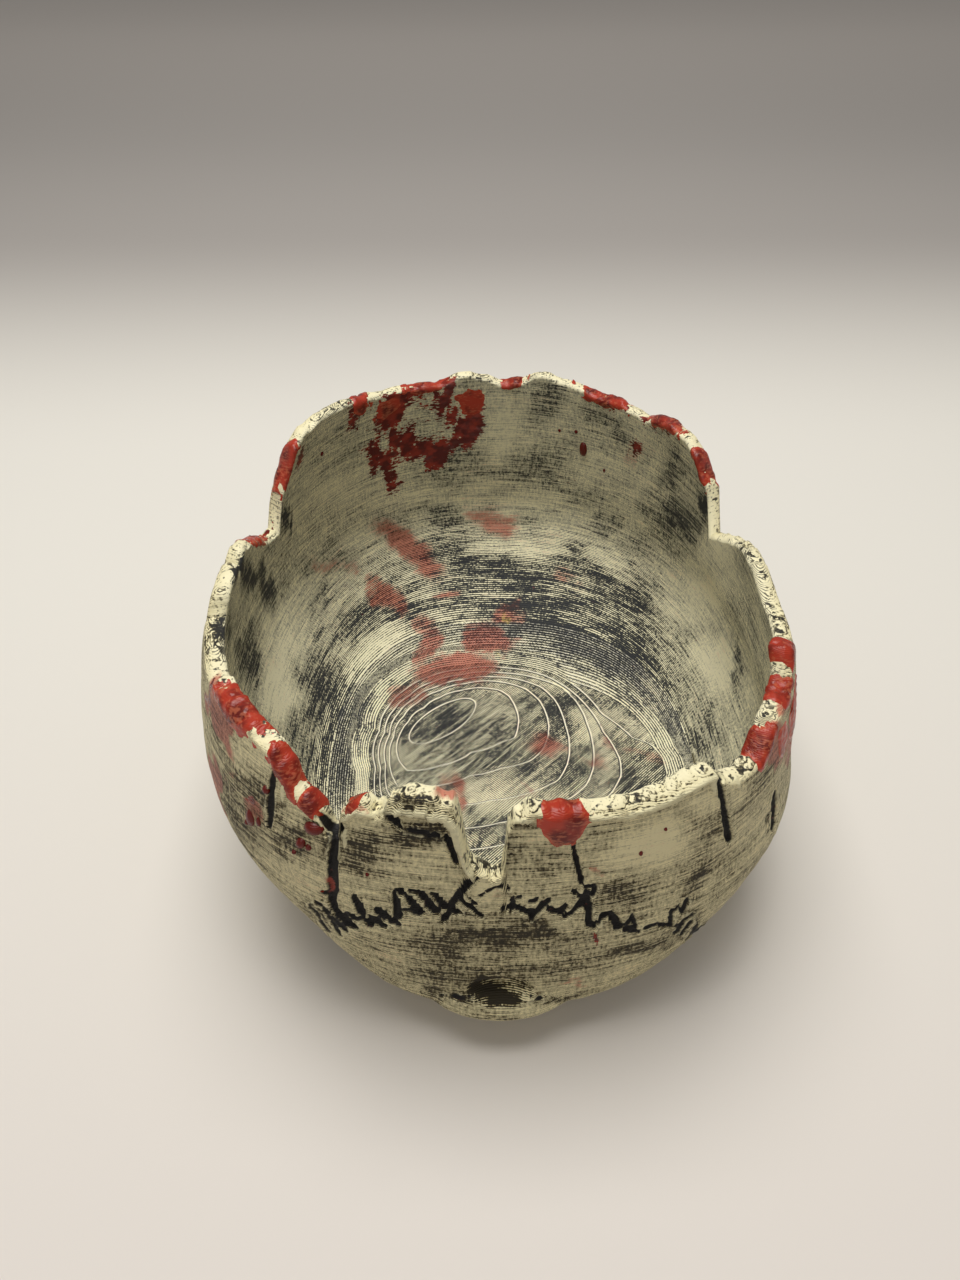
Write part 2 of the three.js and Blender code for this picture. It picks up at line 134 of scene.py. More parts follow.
# Printing: layer height and line width. The floor is a shallow dish of level terraces: the height of
# the lowest, its ellipse (column, row of its middle, half length, half width, turn), and the
# outlines of the terraces over it as (column, row) in the photograph.
LAYER = 0.2
LINE = 0.42
LOWEST = 6.5
PUDDLE_AT = (443, 721)
PUDDLE_LONG = 8.8
PUDDLE_WIDE = 3.7
PUDDLE_TURN = math.radians(43)
OUTLINES = [
    [(398, 745), (400, 760), (408, 770), (440, 765), (470, 752), (500, 742), (513, 738), (517, 725),
     (515, 710), (508, 697), (498, 691), (480, 689), (460, 692), (440, 699), (425, 709), (410, 722),
     (402, 733)],
    [(391, 757), (393, 775), (400, 788), (412, 793), (430, 786), (470, 775), (500, 768), (530, 760),
     (541, 750), (547, 735), (545, 715), (537, 700), (525, 690), (510, 685), (490, 682), (465, 685),
     (440, 692), (420, 703), (405, 717), (395, 737)],
    [(387, 765), (388, 790), (400, 806), (440, 808), (460, 805), (490, 800), (520, 795), (545, 786),
     (557, 780), (566, 765), (568, 745), (564, 725), (553, 700), (540, 688), (520, 681), (490, 678),
     (462, 681), (437, 688), (415, 700), (400, 714), (391, 735)],
    [(382, 768), (384, 800), (400, 826), (450, 828), (500, 822), (550, 806), (570, 797), (585, 785),
     (592, 768), (592, 750), (586, 725), (575, 702), (560, 688), (535, 679), (500, 674), (462, 676),
     (434, 683), (411, 696), (395, 711), (386, 733)],
    [(377, 768), (379, 805), (398, 846), (450, 850), (510, 842), (560, 824), (600, 803), (612, 790),
     (620, 775), (618, 758), (602, 732), (588, 710), (573, 694), (545, 677), (505, 669), (462, 671),
     (430, 678), (406, 691), (390, 707), (381, 731)],
    [(372, 768), (374, 812), (396, 866), (450, 872), (520, 862), (580, 842), (640, 806), (657, 790),
     (666, 774), (661, 757), (646, 742), (633, 740), (600, 714), (582, 693), (552, 674), (508, 665),
     (462, 666), (426, 673), (401, 687), (385, 704), (376, 729)],
]
# Terraces: how many there are, how many over the outlines join the floor to the wall, the least width
# of a tread there and above, and the width from which a tread looks like flat floor.
TERRACES = 27
JOINING = 8
LEAST_TREAD = 0.5
LEAST_STEP = 0.12
WIDE_TREAD = 1.4
# Each terrace's edge is a bead of plastic. How far from an edge the bead's crest, its end and the foot
# of the next step lie, each with the most of the tread that it takes, and the crest's height in layers.
BEAD_CREST = (0.28, 0.35)
BEAD_END = (0.6, 0.7)
TREAD_FOOT = (0.22, 0.25)
BEAD_LAYERS = 1.2
# Black wash left behind a bead, on an edge, and more of it on the edge of a wide tread.
TREAD_WASH = 0.3
EDGE_WASH = 0.42
WIDE_EDGE_WASH = 0.2

# The shell's mesh: columns, close together on the near side, and rows.
COLUMNS = 606
NEAR_FROM = -152
NEAR_TO = -28
NEAR_STEP = 0.33
LOW_TOP = 28.0
LOW_ROWS = np.concatenate([np.linspace(0, 4.5, 5), np.linspace(5.2, 18, 22), np.linspace(18.6, LOW_TOP, 18)])
HIGH_ROWS = 38
RIM_ROWS = 17
INNER_ROWS = 8
WALL_ROWS = 24
WALL_SAMPLES = 720

# Grooves that hold black wash, as strokes of (column, row, width) in the photograph. The number
# before the points is how deep the groove is.
CRACKS = [
    (0.8, [(335, 834, 7), (333, 858, 10), (332, 870, 10), (333, 891, 10), (331, 900, 8), (336, 912, 7),
           (348, 924, 8), (357, 929, 3)]),
    (0.5, [(276, 761, 5), (273, 776, 5), (271, 805, 7), (270, 826, 4)]),
    (0.5, [(323, 892, 4), (329, 893, 6)]),
    (0.7, [(572.8, 838, 3), (574.5, 852, 4), (578, 866, 5), (582, 882, 5)]),
    (0.7, [(718.7, 779, 5), (723.6, 805, 6), (728.4, 839, 7)]),
    (0.5, [(774.5, 791, 3), (773.3, 805, 4), (772, 830, 3)]),
    (0.6, [(387, 814, 7), (394, 820, 10), (400, 826, 4)]),
    (0.4, [(405, 831, 3), (416, 831, 5), (427, 835, 3), (438, 835, 4)]),
    (0.6, [(446.6, 838, 6), (452, 850, 8), (457, 864, 4)]),
    (0.8, [(319, 815, 5), (329, 824, 11), (341, 828, 7)]),
    (0.3, [(440, 994.5, 2), (472, 999, 3)]),
    (0.3, [(522, 997, 3), (542, 999, 2)]),
]
SUTURE = [
    (0.7, [(354, 897.5, 6), (358, 905, 9), (364, 919, 5), (371, 925, 6)]),
    (0.5, [(345.3, 913.6, 3), (351.7, 916, 4), (359.7, 919.4, 4)]),
    (0.5, [(368.9, 916, 3), (375.8, 920.5, 6), (385, 926, 5)]),
    (0.6, [(375.8, 910, 5), (382.7, 914.8, 8), (391.8, 920.5, 6), (400, 924.5, 4)]),
    (0.7, [(393.6, 892.5, 4), (396.4, 902, 7), (397.6, 916, 9)]),
    (0.7, [(395.3, 891.8, 3), (403.3, 893, 4), (410.2, 901, 6), (414.8, 907.9, 9), (419.4, 912.5, 8)]),
    (0.4, [(398.7, 907.9, 4), (406.8, 909, 3), (414.8, 913.6, 4)]),
    (0.7, [(409, 891.2, 3), (418.2, 891.8, 4), (425.1, 898.7, 7), (430.9, 907.9, 8), (438.9, 912.5, 4)]),
    (0.7, [(430.9, 893.5, 3), (436.6, 896.4, 6), (443.5, 905.6, 7), (453.8, 911.3, 8), (462, 912.5, 3)]),
    (0.7, [(443.5, 919.4, 6), (449.2, 912.5, 6), (453.8, 901, 6), (460.7, 893, 8), (468.8, 883, 8),
           (476, 879, 4)]),
    (0.6, [(458.4, 897.5, 3), (466.5, 904.4, 5), (472, 908, 5), (481.6, 916, 4)]),
    (0.4, [(468.8, 898.7, 3), (475.6, 903.3, 3)]),
    (0.3, [(309.2, 905.6, 2), (317.2, 912.5, 2), (323, 924, 2), (331, 932.6, 2)]),
    (0.3, [(314.9, 900.4, 2), (323, 905.6, 3), (329.8, 915.9, 3), (336.7, 929.7, 3), (341.3, 935.4, 2)]),
    (0.3, [(327.5, 910, 2), (335.6, 921.7, 3), (347.6, 932, 2)]),
    (0.4, [(480, 895.7, 3), (493.2, 888.2, 3), (504.8, 884.9, 4), (508.9, 889.9, 3)]),
    (0.4, [(511.4, 899.8, 3), (521.4, 897.3, 3)]),
    (0.6, [(503.1, 909.8, 5), (514.7, 906, 6), (529.7, 913, 5)]),
    (0.4, [(529.7, 901.5, 4), (537.9, 899.8, 4)]),
    (0.6, [(531.3, 917.2, 5), (542.9, 904.8, 6), (549.6, 899.8, 4)]),
    (0.6, [(549.6, 909.8, 5), (561.2, 911.4, 7), (566.1, 904.8, 4)]),
    (0.6, [(564.5, 917.2, 3), (574.4, 909.8, 5), (582.7, 903.1, 7), (586, 893.2, 7)]),
    (0.5, [(572.8, 889.9, 4), (579.4, 895.7, 4), (592.7, 894, 4), (595.2, 888.2, 4), (586, 884.9, 4)]),
    (0.7, [(587.7, 899.8, 6), (588.5, 913, 6), (589.4, 924.7, 7), (594.3, 926.3, 5)]),
    (0.7, [(594.3, 924.7, 4), (602.6, 916.4, 5), (609.3, 913, 6), (615.9, 921.4, 8), (615.9, 928, 6)]),
    (0.6, [(615.9, 928, 5), (625.8, 924.7, 5), (632.5, 917.2, 5), (635.8, 926.3, 4), (624.2, 930.5, 4)]),
    (0.4, [(624.2, 930.5, 3), (639.1, 931.3, 3)]),
    (0.3, [(644.9, 928, 2), (657.3, 923, 2)]),
    (0.6, [(660.7, 924.7, 5), (670.6, 924.7, 5), (670.6, 913, 4), (678.9, 906.4, 4)]),
    (0.5, [(682.2, 911.4, 5), (687.2, 899.8, 4)]),
    (0.3, [(673.9, 933, 2), (682.2, 923, 2)]),
    (0.3, [(680.6, 934.6, 2), (690.5, 921.4, 3)]),
    (0.3, [(685.5, 939.6, 2), (697.1, 924.7, 3)]),
    (0.3, [(692.2, 934.6, 2), (702.1, 926.3, 2)]),
    (0.3, [(675.6, 926.3, 2), (692.2, 914.7, 2)]),
]
STROKE_SOFT = 0.9

# Raised lips of the break, as strokes too, with their height.
LIPS = [
    (1.0, [(381, 803, 5), (391, 809, 6), (410, 811, 7), (430, 813, 8), (444, 815, 9), (455, 828, 9),
           (461, 846, 8), (466, 866, 6), (474, 877, 3)]),
    (0.5, [(344, 819, 4), (356, 812, 5), (372, 815, 5), (383, 811, 4)]),
    (0.5, [(499, 824, 5), (520, 820, 5), (533, 821, 4)]),
    (0.5, [(497, 834, 4), (500, 848, 4), (505, 860, 3)]),
    (0.4, [(592, 818, 4), (625, 817, 5), (660, 806, 5), (700, 785, 5), (716, 776, 6)]),
    (0.4, [(712, 781, 5), (714, 792, 3)]),
    (0.3, [(735, 777, 4), (740, 790, 3)]),
    (0.3, [(283, 788, 5), (283, 800, 3)]),
    (0.3, [(345, 830, 5), (345, 845, 3)]),
    (0.4, [(590, 905, 3), (600, 925, 3)]),
]
# Beside a groove the skin stands a little proud and keeps more cream.
HALO = 2.6
HALO_HEIGHT = 0.16
HALO_CREAM = 0.6
# The bearings whose outside the photograph shows, with some to spare.
NEAR_SIDE = (-168, -8)

# Patches of thin paint, and in the outside's wash one patch of painted shade, as (column, row, half width,
# half height, tilt in degrees, strength) in the photograph. Tilt turns the patch's long side down to the
# right.
# A patch fades between two shares of its size, and those inside and outside overlap in the middle of the
# rim.
STAIN_GROWTH = 1.25
PATCH_FADE = (0.45, 1.35)
INSIDE_FROM = 0.3
OUTSIDE_TO = 0.7
INSIDE_STAINS = [
    (410, 546, 38, 15, 42, 1.0), (341, 566, 22, 8, 12, 0.7), (391, 600, 21, 12, 42, 1.0),
    (423, 643, 12, 22, -10, 0.85), (485, 641, 20, 15, 10, 1.15), (453, 671, 38, 13, -5, 0.9),
    (501, 615, 15, 6, -10, 0.8), (494, 521, 23, 10, 5, 0.62), (443, 598, 13, 5, -8, 0.7),
    (522, 607, 8, 10, 0, 0.65), (548, 739, 15, 12, 20, 0.8), (605, 756, 9, 14, 0, 0.75),
    (650, 757, 16, 7, 15, 0.65), (577, 763, 8, 6, 0, 0.6), (538, 783, 9, 4, 0, 0.6),
    (455, 790, 19, 8, -18, 0.9), (461, 811, 6, 10, 0, 0.7), (408, 695, 16, 12, -40, 0.65),
    (562, 575, 10, 8, 0, 0.5), (640, 455, 14, 6, 10, 0.55),
]
INSIDE_BLOOD = [
    (396, 409, 24, 12, -8, 1.5), (384, 424, 11, 9, 0, 0.85), (446, 409, 14, 11, 25, 1.4),
    (472, 422, 14, 22, -8, 1.5), (408, 448, 46, 9, -5, 1.3), (432, 457, 17, 10, 30, 1.25),
    (379, 464, 13, 9, 35, 1.15), (390, 477, 10, 8, 30, 0.95), (455, 442, 8, 6, 0, 0.9),
    (410, 391, 42, 5, -8, 0.95), (360, 403, 9, 10, 0, 0.75), (632, 443, 12, 9, -10, 0.95),
    (430, 425, 64, 36, -5, 0.3), (448, 384, 8, 8, -10, 0.9), (420, 402, 30, 8, -5, 0.6),
    (655, 425, 26, 5, 14, 0.75), (560, 372, 30, 3, 20, 0.6), (612, 405, 16, 10, 30, 0.7),
    (316, 436, 3, 3, 0, 1.1), (455, 430, 14, 5, 30, 0.6), (575, 427, 2, 2, 0, 1.1), (586, 442, 2, 3, 0, 1.2),
    (268, 535, 12, 3, -10, 1.0), (298, 462, 5, 12, 10, 1.0), (354, 425, 3, 6, 0, 0.9),
]
INSIDE_WASH = [
    (357, 616, 36, 14, -35, 0.6), (260, 581, 12, 22, -20, 1.1), (246, 660, 9, 30, 5, 0.8),
    (505, 466, 62, 14, 0, 0.55), (447, 516, 20, 9, 10, 0.6), (548, 396, 22, 12, 5, 0.75),
    (560, 412, 60, 7, 8, 0.6), (415, 801, 24, 5, 3, 0.7), (617, 431, 9, 15, 10, 0.6),
    (676, 471, 9, 28, -15, 0.65),
    (676, 524, 42, 24, 45, 0.6), (560, 572, 84, 30, 4, 0.5), (609, 524, 16, 10, 20, 0.6),
    (629, 690, 24, 22, 40, 0.5), (738, 662, 4, 24, -12, 0.9), (333, 763, 20, 34, 0, 0.6),
    (288, 519, 6, 12, 10, 1.5), (218, 545, 6, 12, 0, 1.2), (222, 628, 8, 14, 0, 0.9),
    (246, 572, 8, 13, -10, 1.5), (706, 508, 6, 14, -8, 1.5),
    (657, 419, 5, 4, 0, 1.2), (610, 645, 66, 34, 30, 0.75), (440, 480, 30, 8, 0, 0.5),
    (400, 620, 50, 14, 10, 0.5), (540, 628, 60, 16, 6, 0.5),
    (360, 720, 20, 40, 0, 0.45), (540, 600, 140, 60, 14, 0.7), (325, 720, 34, 90, 0, 0.55),
    (690, 715, 26, 60, -25, 0.5), (443, 721, 24, 16, 0, 0.2), (560, 775, 40, 16, -10, 0.3),
]
INSIDE_PALE = [
    (275, 640, 16, 50, -10, 0.5), (276, 690, 18, 34, -5, 0.9), (405, 497, 32, 12, -8, 0.6),
    (506, 433, 16, 24, 0, 0.75), (612, 563, 26, 14, 45, 0.7), (712, 662, 34, 22, 55, 0.85),
    (716, 543, 14, 24, -20, 0.9), (664, 473, 12, 18, -30, 0.55), (510, 547, 50, 8, 4, 0.8),
    (340, 480, 40, 16, -30, 0.5), (590, 470, 30, 16, 5, 0.4), (490, 718, 22, 16, 0, 0.35),
    (700, 600, 20, 30, 50, 0.5), (520, 500, 40, 10, 3, 0.4), (640, 745, 20, 14, 25, 0.2),
    (560, 790, 60, 14, -8, 0.2), (592, 728, 18, 20, 40, 0.7), (478, 796, 34, 12, -5, 0.8),
    (640, 728, 22, 9, 35, 0.9), (560, 680, 30, 8, 20, 0.4),
    (378, 640, 28, 11, -35, 0.6),
]
HATCHED = [
    (335, 420, 42, 14, -35, 1.2), (752, 575, 14, 52, -25, 1.1), (220, 640, 14, 28, 5, 1.0),
    (765, 725, 22, 38, 15, 0.9), (228, 692, 14, 10, 0, 1.0), (275, 728, 20, 10, 40, 0.9),
    (560, 378, 40, 6, 15, 0.7), (650, 425, 40, 8, 15, 0.6), (480, 870, 24, 14, 0, 0.7),
    (330, 822, 14, 10, 0, 0.8), (415, 806, 30, 7, 3, 0.7), (700, 780, 20, 8, -25, 0.5),
]
INSIDE_OCHRE = [(505, 619, 10, 4, -5, 0.85), (498, 658, 8, 6, 0, 0.75), (512, 700, 10, 6, 0, 0.5)]
OUTSIDE_STAINS = [
    (221, 715, 9, 32, -14, 1.6), (214, 782, 6, 28, -17, 1.4), (231, 776, 5, 5, 0, 0.6),
    (333, 880, 5, 10, 0, 0.9), (777, 742, 8, 20, -5, 1.6), (791, 733, 5, 24, 0, 1.4),
    (600, 867, 5, 4, 0, 0.6), (570, 980, 11, 2.5, 5, 0.6), (250, 812, 7, 14, -25, 0.75),
    (352, 811, 12, 3, 5, 0.7), (780, 700, 8, 10, 0, 0.8), (496, 898, 8, 4, 0, 0.4),
]
OUTSIDE_BLOOD = [
    (588.5, 937, 2.4, 10, -18, 1.2), (322, 892, 3, 2.5, 0, 0.9), (245, 806, 2.5, 9, -25, 1.0),
    (210, 690, 2, 30, 0, 0.8), (300, 812, 3, 2, 0, 0.8), (596, 866, 2, 2, 0, 0.9), (303, 748, 2, 2, 0, 0.9),
]
OUTSIDE_WASH_AND_SHADE = [
    (363, 850, 20, 20, 10, 0.5), (415, 801, 24, 5, 3, 0.7), (418, 837, 36, 14, 2, 1.0),
    (246, 803, 30, 52, -22, 0.4),
    (290, 842, 20, 14, 10, 0.55), (694, 892, 13, 34, 15, 0.6), (623, 893, 28, 16, 0, 0.5),
    (556, 858, 22, 14, 0, 0.45), (775, 812, 4, 22, 3, 0.9), (510, 934, 80, 10, 2, 0.9),
    # Painted shade: this wide patch darkens the lower front, which faces away from the light, over the real
    # wash.
    (480, 955, 120, 36, 0, 0.6),
    (640, 945, 40, 9, -18, 0.45), (497, 991, 30, 8, 0, 2.2), (440, 996, 30, 5, 10, 0.7),
    (555, 996, 26, 5, -8, 0.6), (400, 950, 50, 12, 14, 0.5),
    (590, 905, 24, 10, 0, 0.3), (700, 830, 26, 30, 15, 0.35), (505, 850, 22, 22, 0, 0.45),
    (335, 845, 12, 14, 0, 0.6), (325, 915, 22, 16, 40, 0.5), (690, 925, 20, 14, -30, 0.5),
]
OUTSIDE_PALE = [
    (500, 962, 62, 12, 0, 0.5), (300, 800, 16, 22, -35, 0.8), (262, 748, 16, 26, -40, 0.6),
    (650, 845, 44, 22, -8, 1.1), (487, 893, 14, 7, -10, 1.2), (360, 820, 16, 6, 0, 0.6),
    (700, 800, 20, 16, -20, 0.6), (425, 862, 24, 14, 0, 0.3), (556, 986, 30, 8, -4, 0.4),
    (735, 790, 8, 20, 0, 0.5), (372, 890, 16, 10, 0, 0.4), (530, 1005, 40, 7, 0, 0.5),
]

# Thick paint: name, first and last bearing, outer and inner edge across the rim at the start, the
# middle and the end, the most that it swells to, and where along it the middle lies. Across the rim
# -1 is the outer edge and 1 the inner edge; past them the number is the depth below that edge, plus 1.
RUNS = [
    ("front_drip", -84.8, -77.2, (-2.2, -5.7, -1.5), (1.2, 1.6, 1.2), 1.05, 0.45),
    ("right_rim_patch", -45, -39.4, (-1.4, -3, -2), (1.2, 1.6, 1.2), 0.7, 0.5),
    ("right_side_run", -38, -33, (-5, -9.6, -6), (-3.4, -2.6, -2.8), 0.7, 0.5),
    ("right_back_run", -31.5, -24.5, (-6, -13, -7), (-4.6, -4.2, -4.6), 0.7, 0.5),
    ("right_ridge_run", -35.2, -28.9, (-1.2, -1.7, -1.2), (1.2, 1.7, 1.2), 0.65, 0.5),
    ("right_knob_run", -28, -21.4, (-1.3, -3, -1.3), (1.3, 2.2, 1.3), 0.96, 0.5),
    ("right_bay_run", 37.4, 42.6, (-1.2, -1.4, -1.2), (1.2, 2.2, 1.2), 0.65, 0.5),
    ("right_brow_run", 47.5, 57.5, (-1.2, -1.4, -1.2), (1.2, 1.8, 1.2), 0.6, 0.5),
    ("brow_right_run", 63, 73.6, (-1.2, -1.5, -1.2), (1.2, 2, 1.2), 0.75, 0.4),
    ("brow_dip_run", 83, 88.2, (-1.2, -1.4, -1.2), (1.2, 1.5, 1.2), 0.8, 0.5),
    ("brow_splash", 90.4, 95.6, (4, 2.8, 3.6), (6, 10.6, 7), 0.35, 0.5),
    ("brow_left_run", 97.4, 105.2, (-1.2, -1.3, -1.2), (1.2, 1.5, 1.2), 0.65, 0.5),
    ("brow_left_pool", 106, 112.2, (1.4, 1.2, 1.4), (3, 6.2, 5), 0.4, 0.6),
    ("left_corner_run", 113.2, 116.8, (-1.2, -1.3, -1.2), (1.2, 3.4, 1.2), 0.8, 0.5),
    ("left_bay_run", 133.6, 139.4, (-1.2, -1.5, -1.2), (1.2, 1.8, 1.2), 0.7, 0.5),
    ("left_shoulder_run", 146.4, 158, (-1.2, -1.4, -1.2), (1.2, 1.4, 1.2), 0.6, 0.5),
    ("left_band", -148.5, -133.8, (-1.3, -2.2, -1.2), (0.2, 1.2, 1.0), 0.55, 0.5),
    ("left_rim_run", -131, -125.2, (-1.2, -2.6, -1.2), (1.0, 1.5, 1.0), 0.55, 0.5),
    ("left_clot", -124.6, -121, (-1.1, -1.2, -1.1), (1.2, 2, 1.2), 1.1, 0.5),
    ("left_tip_run", -116.4, -113.6, (-1.1, -1.3, -1.1), (1.1, 1.3, 1.1), 0.7, 0.5),
]
PAINT_STEP = 0.3
PAINT_SINK = 0.45
LEAST_GRID = 14
# A step of 1 across the rim is about this long.
RIM_PLACE_LENGTH = 1.6
# How far a run's sheet goes on past its ends, as a share of its length, and past its hanging and its
# inner edge, and how blunt its bulges are.
PAST_ENDS = 0.1
HANG = 0.3
OVERLAP = 0.2
BLUNTNESS = 0.6
# A run's height as shares of the most that it swells to: its film, how it rises to that from the edge,
# how far it dips there and the depth, in millimetres, under which it isn't followed.
FILM = 0.5
SHOULDER = (0.15, 0.8)
DIP = 0.14
DEEPEST = -0.3
# Runs thinner than this are smeared and ragged, and the others are smooth.
SMEARED_BELOW = 0.95
SMEARED = 0.42
SMOOTH = 0.1
FRAYED_EDGE = 0.18
# How dark a run is for its height, by share of its thickness and in millimetres.
FILM_BY_SHARE = 0.6
FILM_BY_HEIGHT = 0.3

# Drops: how dark they are, as a thickness of paint, and their rings from the crown to the base under
# the skin, as (share of the reach, share of the thickness).
DROP_FILM = 0.9
DROP_SIDES = 20
DROP_BASE = -0.5
DROP_RINGS = ((0.3, 0.96), (0.55, 0.82), (0.78, 0.58), (0.93, 0.28), (1.0, 0.0), (1.0, DROP_BASE))
FIRST_SPLASH_SEED = 10

# Single drops: bearing, depth below the rim, half sizes along and up the wall, which side, thickness.
DROPS = {
    "drop_by_crack": (-121.6, 2.8, 1.5, 1.1, "outside", 0.9),
    "drop_left_of_crack": (-124, 8.5, 0.8, 1.0, "outside", 0.8),
    "drop_left_low": (-135.4, 16.5, 0.9, 1.6, "outside", 0.6),
    "drop_inside": (71.6, 15.1, 0.9, 1.9, "inside", 0.8),
}
SPLASHES = [
    (-122.6, 7.8, 0.5, 0.6, "outside", 0.5), (-125.6, 12.4, 0.35, 0.4, "outside", 0.4),
    (-133.2, 15.6, 0.4, 0.9, "outside", 0.4), (-136.6, 18.4, 0.35, 0.6, "outside", 0.4),
    (-131, 7.6, 0.6, 0.7, "outside", 0.5), (-112.5, 12.5, 0.3, 0.4, "outside", 0.3),
    (76.4, 12.6, 0.35, 0.45, "inside", 0.4), (73.2, 11.2, 0.45, 0.5, "inside", 0.4),
    (125.2, 9.5, 0.5, 0.5, "inside", 0.4), (67, 18.4, 0.3, 0.6, "inside", 0.3),
    (-64.5, 6.2, 0.25, 0.3, "outside", 0.3), (-68.5, 9.4, 0.3, 0.5, "outside", 0.3),
]

# Noises of the paints, as features per metre along x, y and z, and octaves of detail.
BONE_NOISES = {
    "fine": ((240, 240, 5600), 2.0), "streak": ((90, 90, 2600), 3.0), "broad": ((45, 45, 900), 2.0),
    "ticks": ((2300, 2300, 520), 2.0), "cloud": ((80, 80, 120), 5.0), "grain": ((2200, 2200, 2200), 1.0),
    "patchy": ((260, 260, 260), 2.0), "speck": ((900, 900, 1300), 2.0),
    "splatter": ((420, 420, 560), 4.0), "shred": ((900, 900, 2400), 3.0),
}
SCRATCH = ((1100, 130, 900), 2.0)
SCRATCH_TURN = 45
GLOSS_NOISES = {"pool": ((240, 240, 300), 3.0), "fine": ((1100, 1100, 3200), 2.0)}

# How full each kind of paint is: the noises, marks and other values that it follows, by weight, and the
# levels of their sum at which it is empty and full.
LEVELS = {
    # The wash weight darkens the tone for the dark wash and for the painted shade low on the front.
    "tone": ({"strokes": 1.0, "ticks": 0.4, "cloud": 0.44, "grain": 0.4, "pale": 0.24, "wash": -0.27,
              "rim": 0.28, "inside": 0.01, "layer_line": 0.4, "fill_line": 0.45, "scratch": 0.5,
              "flat": -0.405}, 1.365, 1.61),
    "half_tone": ({"tone": 1.0}, 0.0, 0.5),
    "pale_tone": ({"tone": 1.0}, 0.4, 1.0),
    "cream": ({"ridge": 1.0, "grain": 0.5, "rim": 0.25}, 0.55, 1.0),
    "pits": ({"speck": 1.0, "patchy": 0.5, "hatched": 0.05}, 0.86, 0.94),
    "gaps": ({"crest": 1.0}, 0.6, 0.25),
    "hatching": ({"hatched": 0.9, "patchy": 0.5}, 0.5, 1.1),
    "bead": ({"lip": 1.0, "grain": 0.7}, 0.64, 1.02),
    "crack": ({"groove": 1.0, "grain": 0.4, "fine": 0.2}, 0.5, 0.85),
    "smeared": ({"stain": 1.15, "fine": 1.0, "streak": 0.8, "cloud": 1.4, "grain": 0.6}, 2.2, 2.95),
    "specks": ({"ochre": 1.0, "grain": 0.6}, 0.9, 1.3),
    "spattered": ({"blood": 0.9, "splatter": 1.1, "shred": 1.6}, 1.78, 1.94),
    "thick_blood": ({"splatter": 1.0}, 0.38, 0.6),
    "thick_gloss": ({"film": 0.9, "pool": 1.0}, 0.62, 0.94),
    "bare": ({"fine": 1.0, "pool": 0.6, "film": -0.3}, 0.72, 0.92),
}
STRENGTH = {
    "cream": 0.8, "bead": 0.95, "crack": 1.0, "smeared": 0.8, "specks": 0.6, "spattered": 1.0, "bare": 0.45,
}
# The brush's strokes, and the share of them that the flat floor loses and the even tone it gets instead.
STROKES = {"fine": 0.6, "streak": 0.5, "broad": 0.2}
FLAT_EVENNESS = 0.7
FLAT_STROKES = 0.62
# Each paint's relief by weight, how deep that is in metres and how strong, and how rough and shiny it is.
BONE_RELIEF = {"layer_line": 0.6, "fill_line": 0.6, "speck": 0.5, "fine": 0.6, "streak": 0.4, "ticks": 0.3}
BONE_BUMP = (0.00018, 0.9)
BONE_ROUGHNESS = 0.66
BONE_SMOOTHED = {"spattered": -0.4, "smeared": -0.14, "tone": -0.14}
BONE_SHINE = {"Specular IOR Level": 0.3}
GLOSS_RELIEF = {"pool": 0.5, "crest": 0.3, "fine": 0.45}
GLOSS_BUMP = (0.0002, 0.5)
GLOSS_ROUGHNESS = 0.26
GLOSS_SHINE = {"Coat Weight": 0.14, "Coat Roughness": 0.05, "Specular IOR Level": 0.25}

# Colours. The first of these pairs is outside and the second inside. The inside's pale cream is lighter than
# the outside's, partly as painted light on the inner walls.
DARK = ((0.024, 0.018, 0.007), (0.028, 0.030, 0.032))
HALF = ((0.25, 0.197, 0.082), (0.24, 0.23, 0.15))
PALE = ((0.86, 0.77, 0.46), (0.96, 0.90, 0.62))
# The first of these pairs is over dark wash or where the red is thin, the second over cream or thick.
STAINED = ((0.08, 0.013, 0.009), (0.52, 0.085, 0.05))
BLOOD = ((0.34, 0.030, 0.013), (0.12, 0.007, 0.003))
GLOSS = ((0.43, 0.038, 0.016), (0.125, 0.008, 0.004))
CREAM = (0.86, 0.79, 0.50)
BEAD = (0.96, 0.92, 0.74)
PIT_BLACK = (0.018, 0.016, 0.010)
GROOVE_BLACK = (0.008, 0.007, 0.006)
OCHRE = (0.55, 0.44, 0.10)
BARE_RED = (0.62, 0.17, 0.08)
# The table in front, and what it turns to between two distances behind the middle, in metres. These are
# painted light and shade: lighter round the bowl, darkest behind it and a little lighter again far back.
TABLE_FRONT = (0.73, 0.67, 0.62)
TABLE_PAINTED_LIGHT_AND_SHADE = [
    (-0.2, 0.1, (0.80, 0.77, 0.70)), (0.13, 0.36, (0.42, 0.39, 0.36)), (0.5, 1.0, (0.62, 0.57, 0.52)),
]
TABLE_ROUGHNESS = 0.7

# The table's reach in millimetres, then in metres and watts the lamps as (place, size, power, colour),
# what they face, the room's light and the nearest that the camera sees.
TABLE_REACH = 4000.0
LAMPS = {
    "overhead": ((-0.05, 0.08, 0.78), 0.5, 5.0, (1.0, 0.985, 0.96)),
    "front_fill": ((-0.2, -0.75, 0.7), 0.5, 0.7, (1.0, 0.97, 0.94)),
}
LAMP_AIM = np.array([0.0, 0.0, 0.03])
ROOM_COLOUR = (1.0, 0.985, 0.965)
ROOM_STRENGTH = 0.27
NEAREST_SEEN = 0.01


def mix(first, second, share):
    return first + (second - first) * share


def smooth(low, high, value):
    share = np.clip((value - low) / (high - low), 0, 1)
    return share * share * (3 - 2 * share)


def hashed(cell, seed):
    """An even random number from -1 to 1 for each whole-numbered cell."""
    x, y, z = cell.T
    mixed = x * PRIMES[0] ^ y * PRIMES[1] ^ z * PRIMES[2] ^ seed * PRIMES[3]
    mixed = ((mixed ^ (mixed >> 13)) * STIR) & LOW_32
    return ((mixed ^ (mixed >> 16)) & LOW_16) / (LOW_16 / 2) - 1


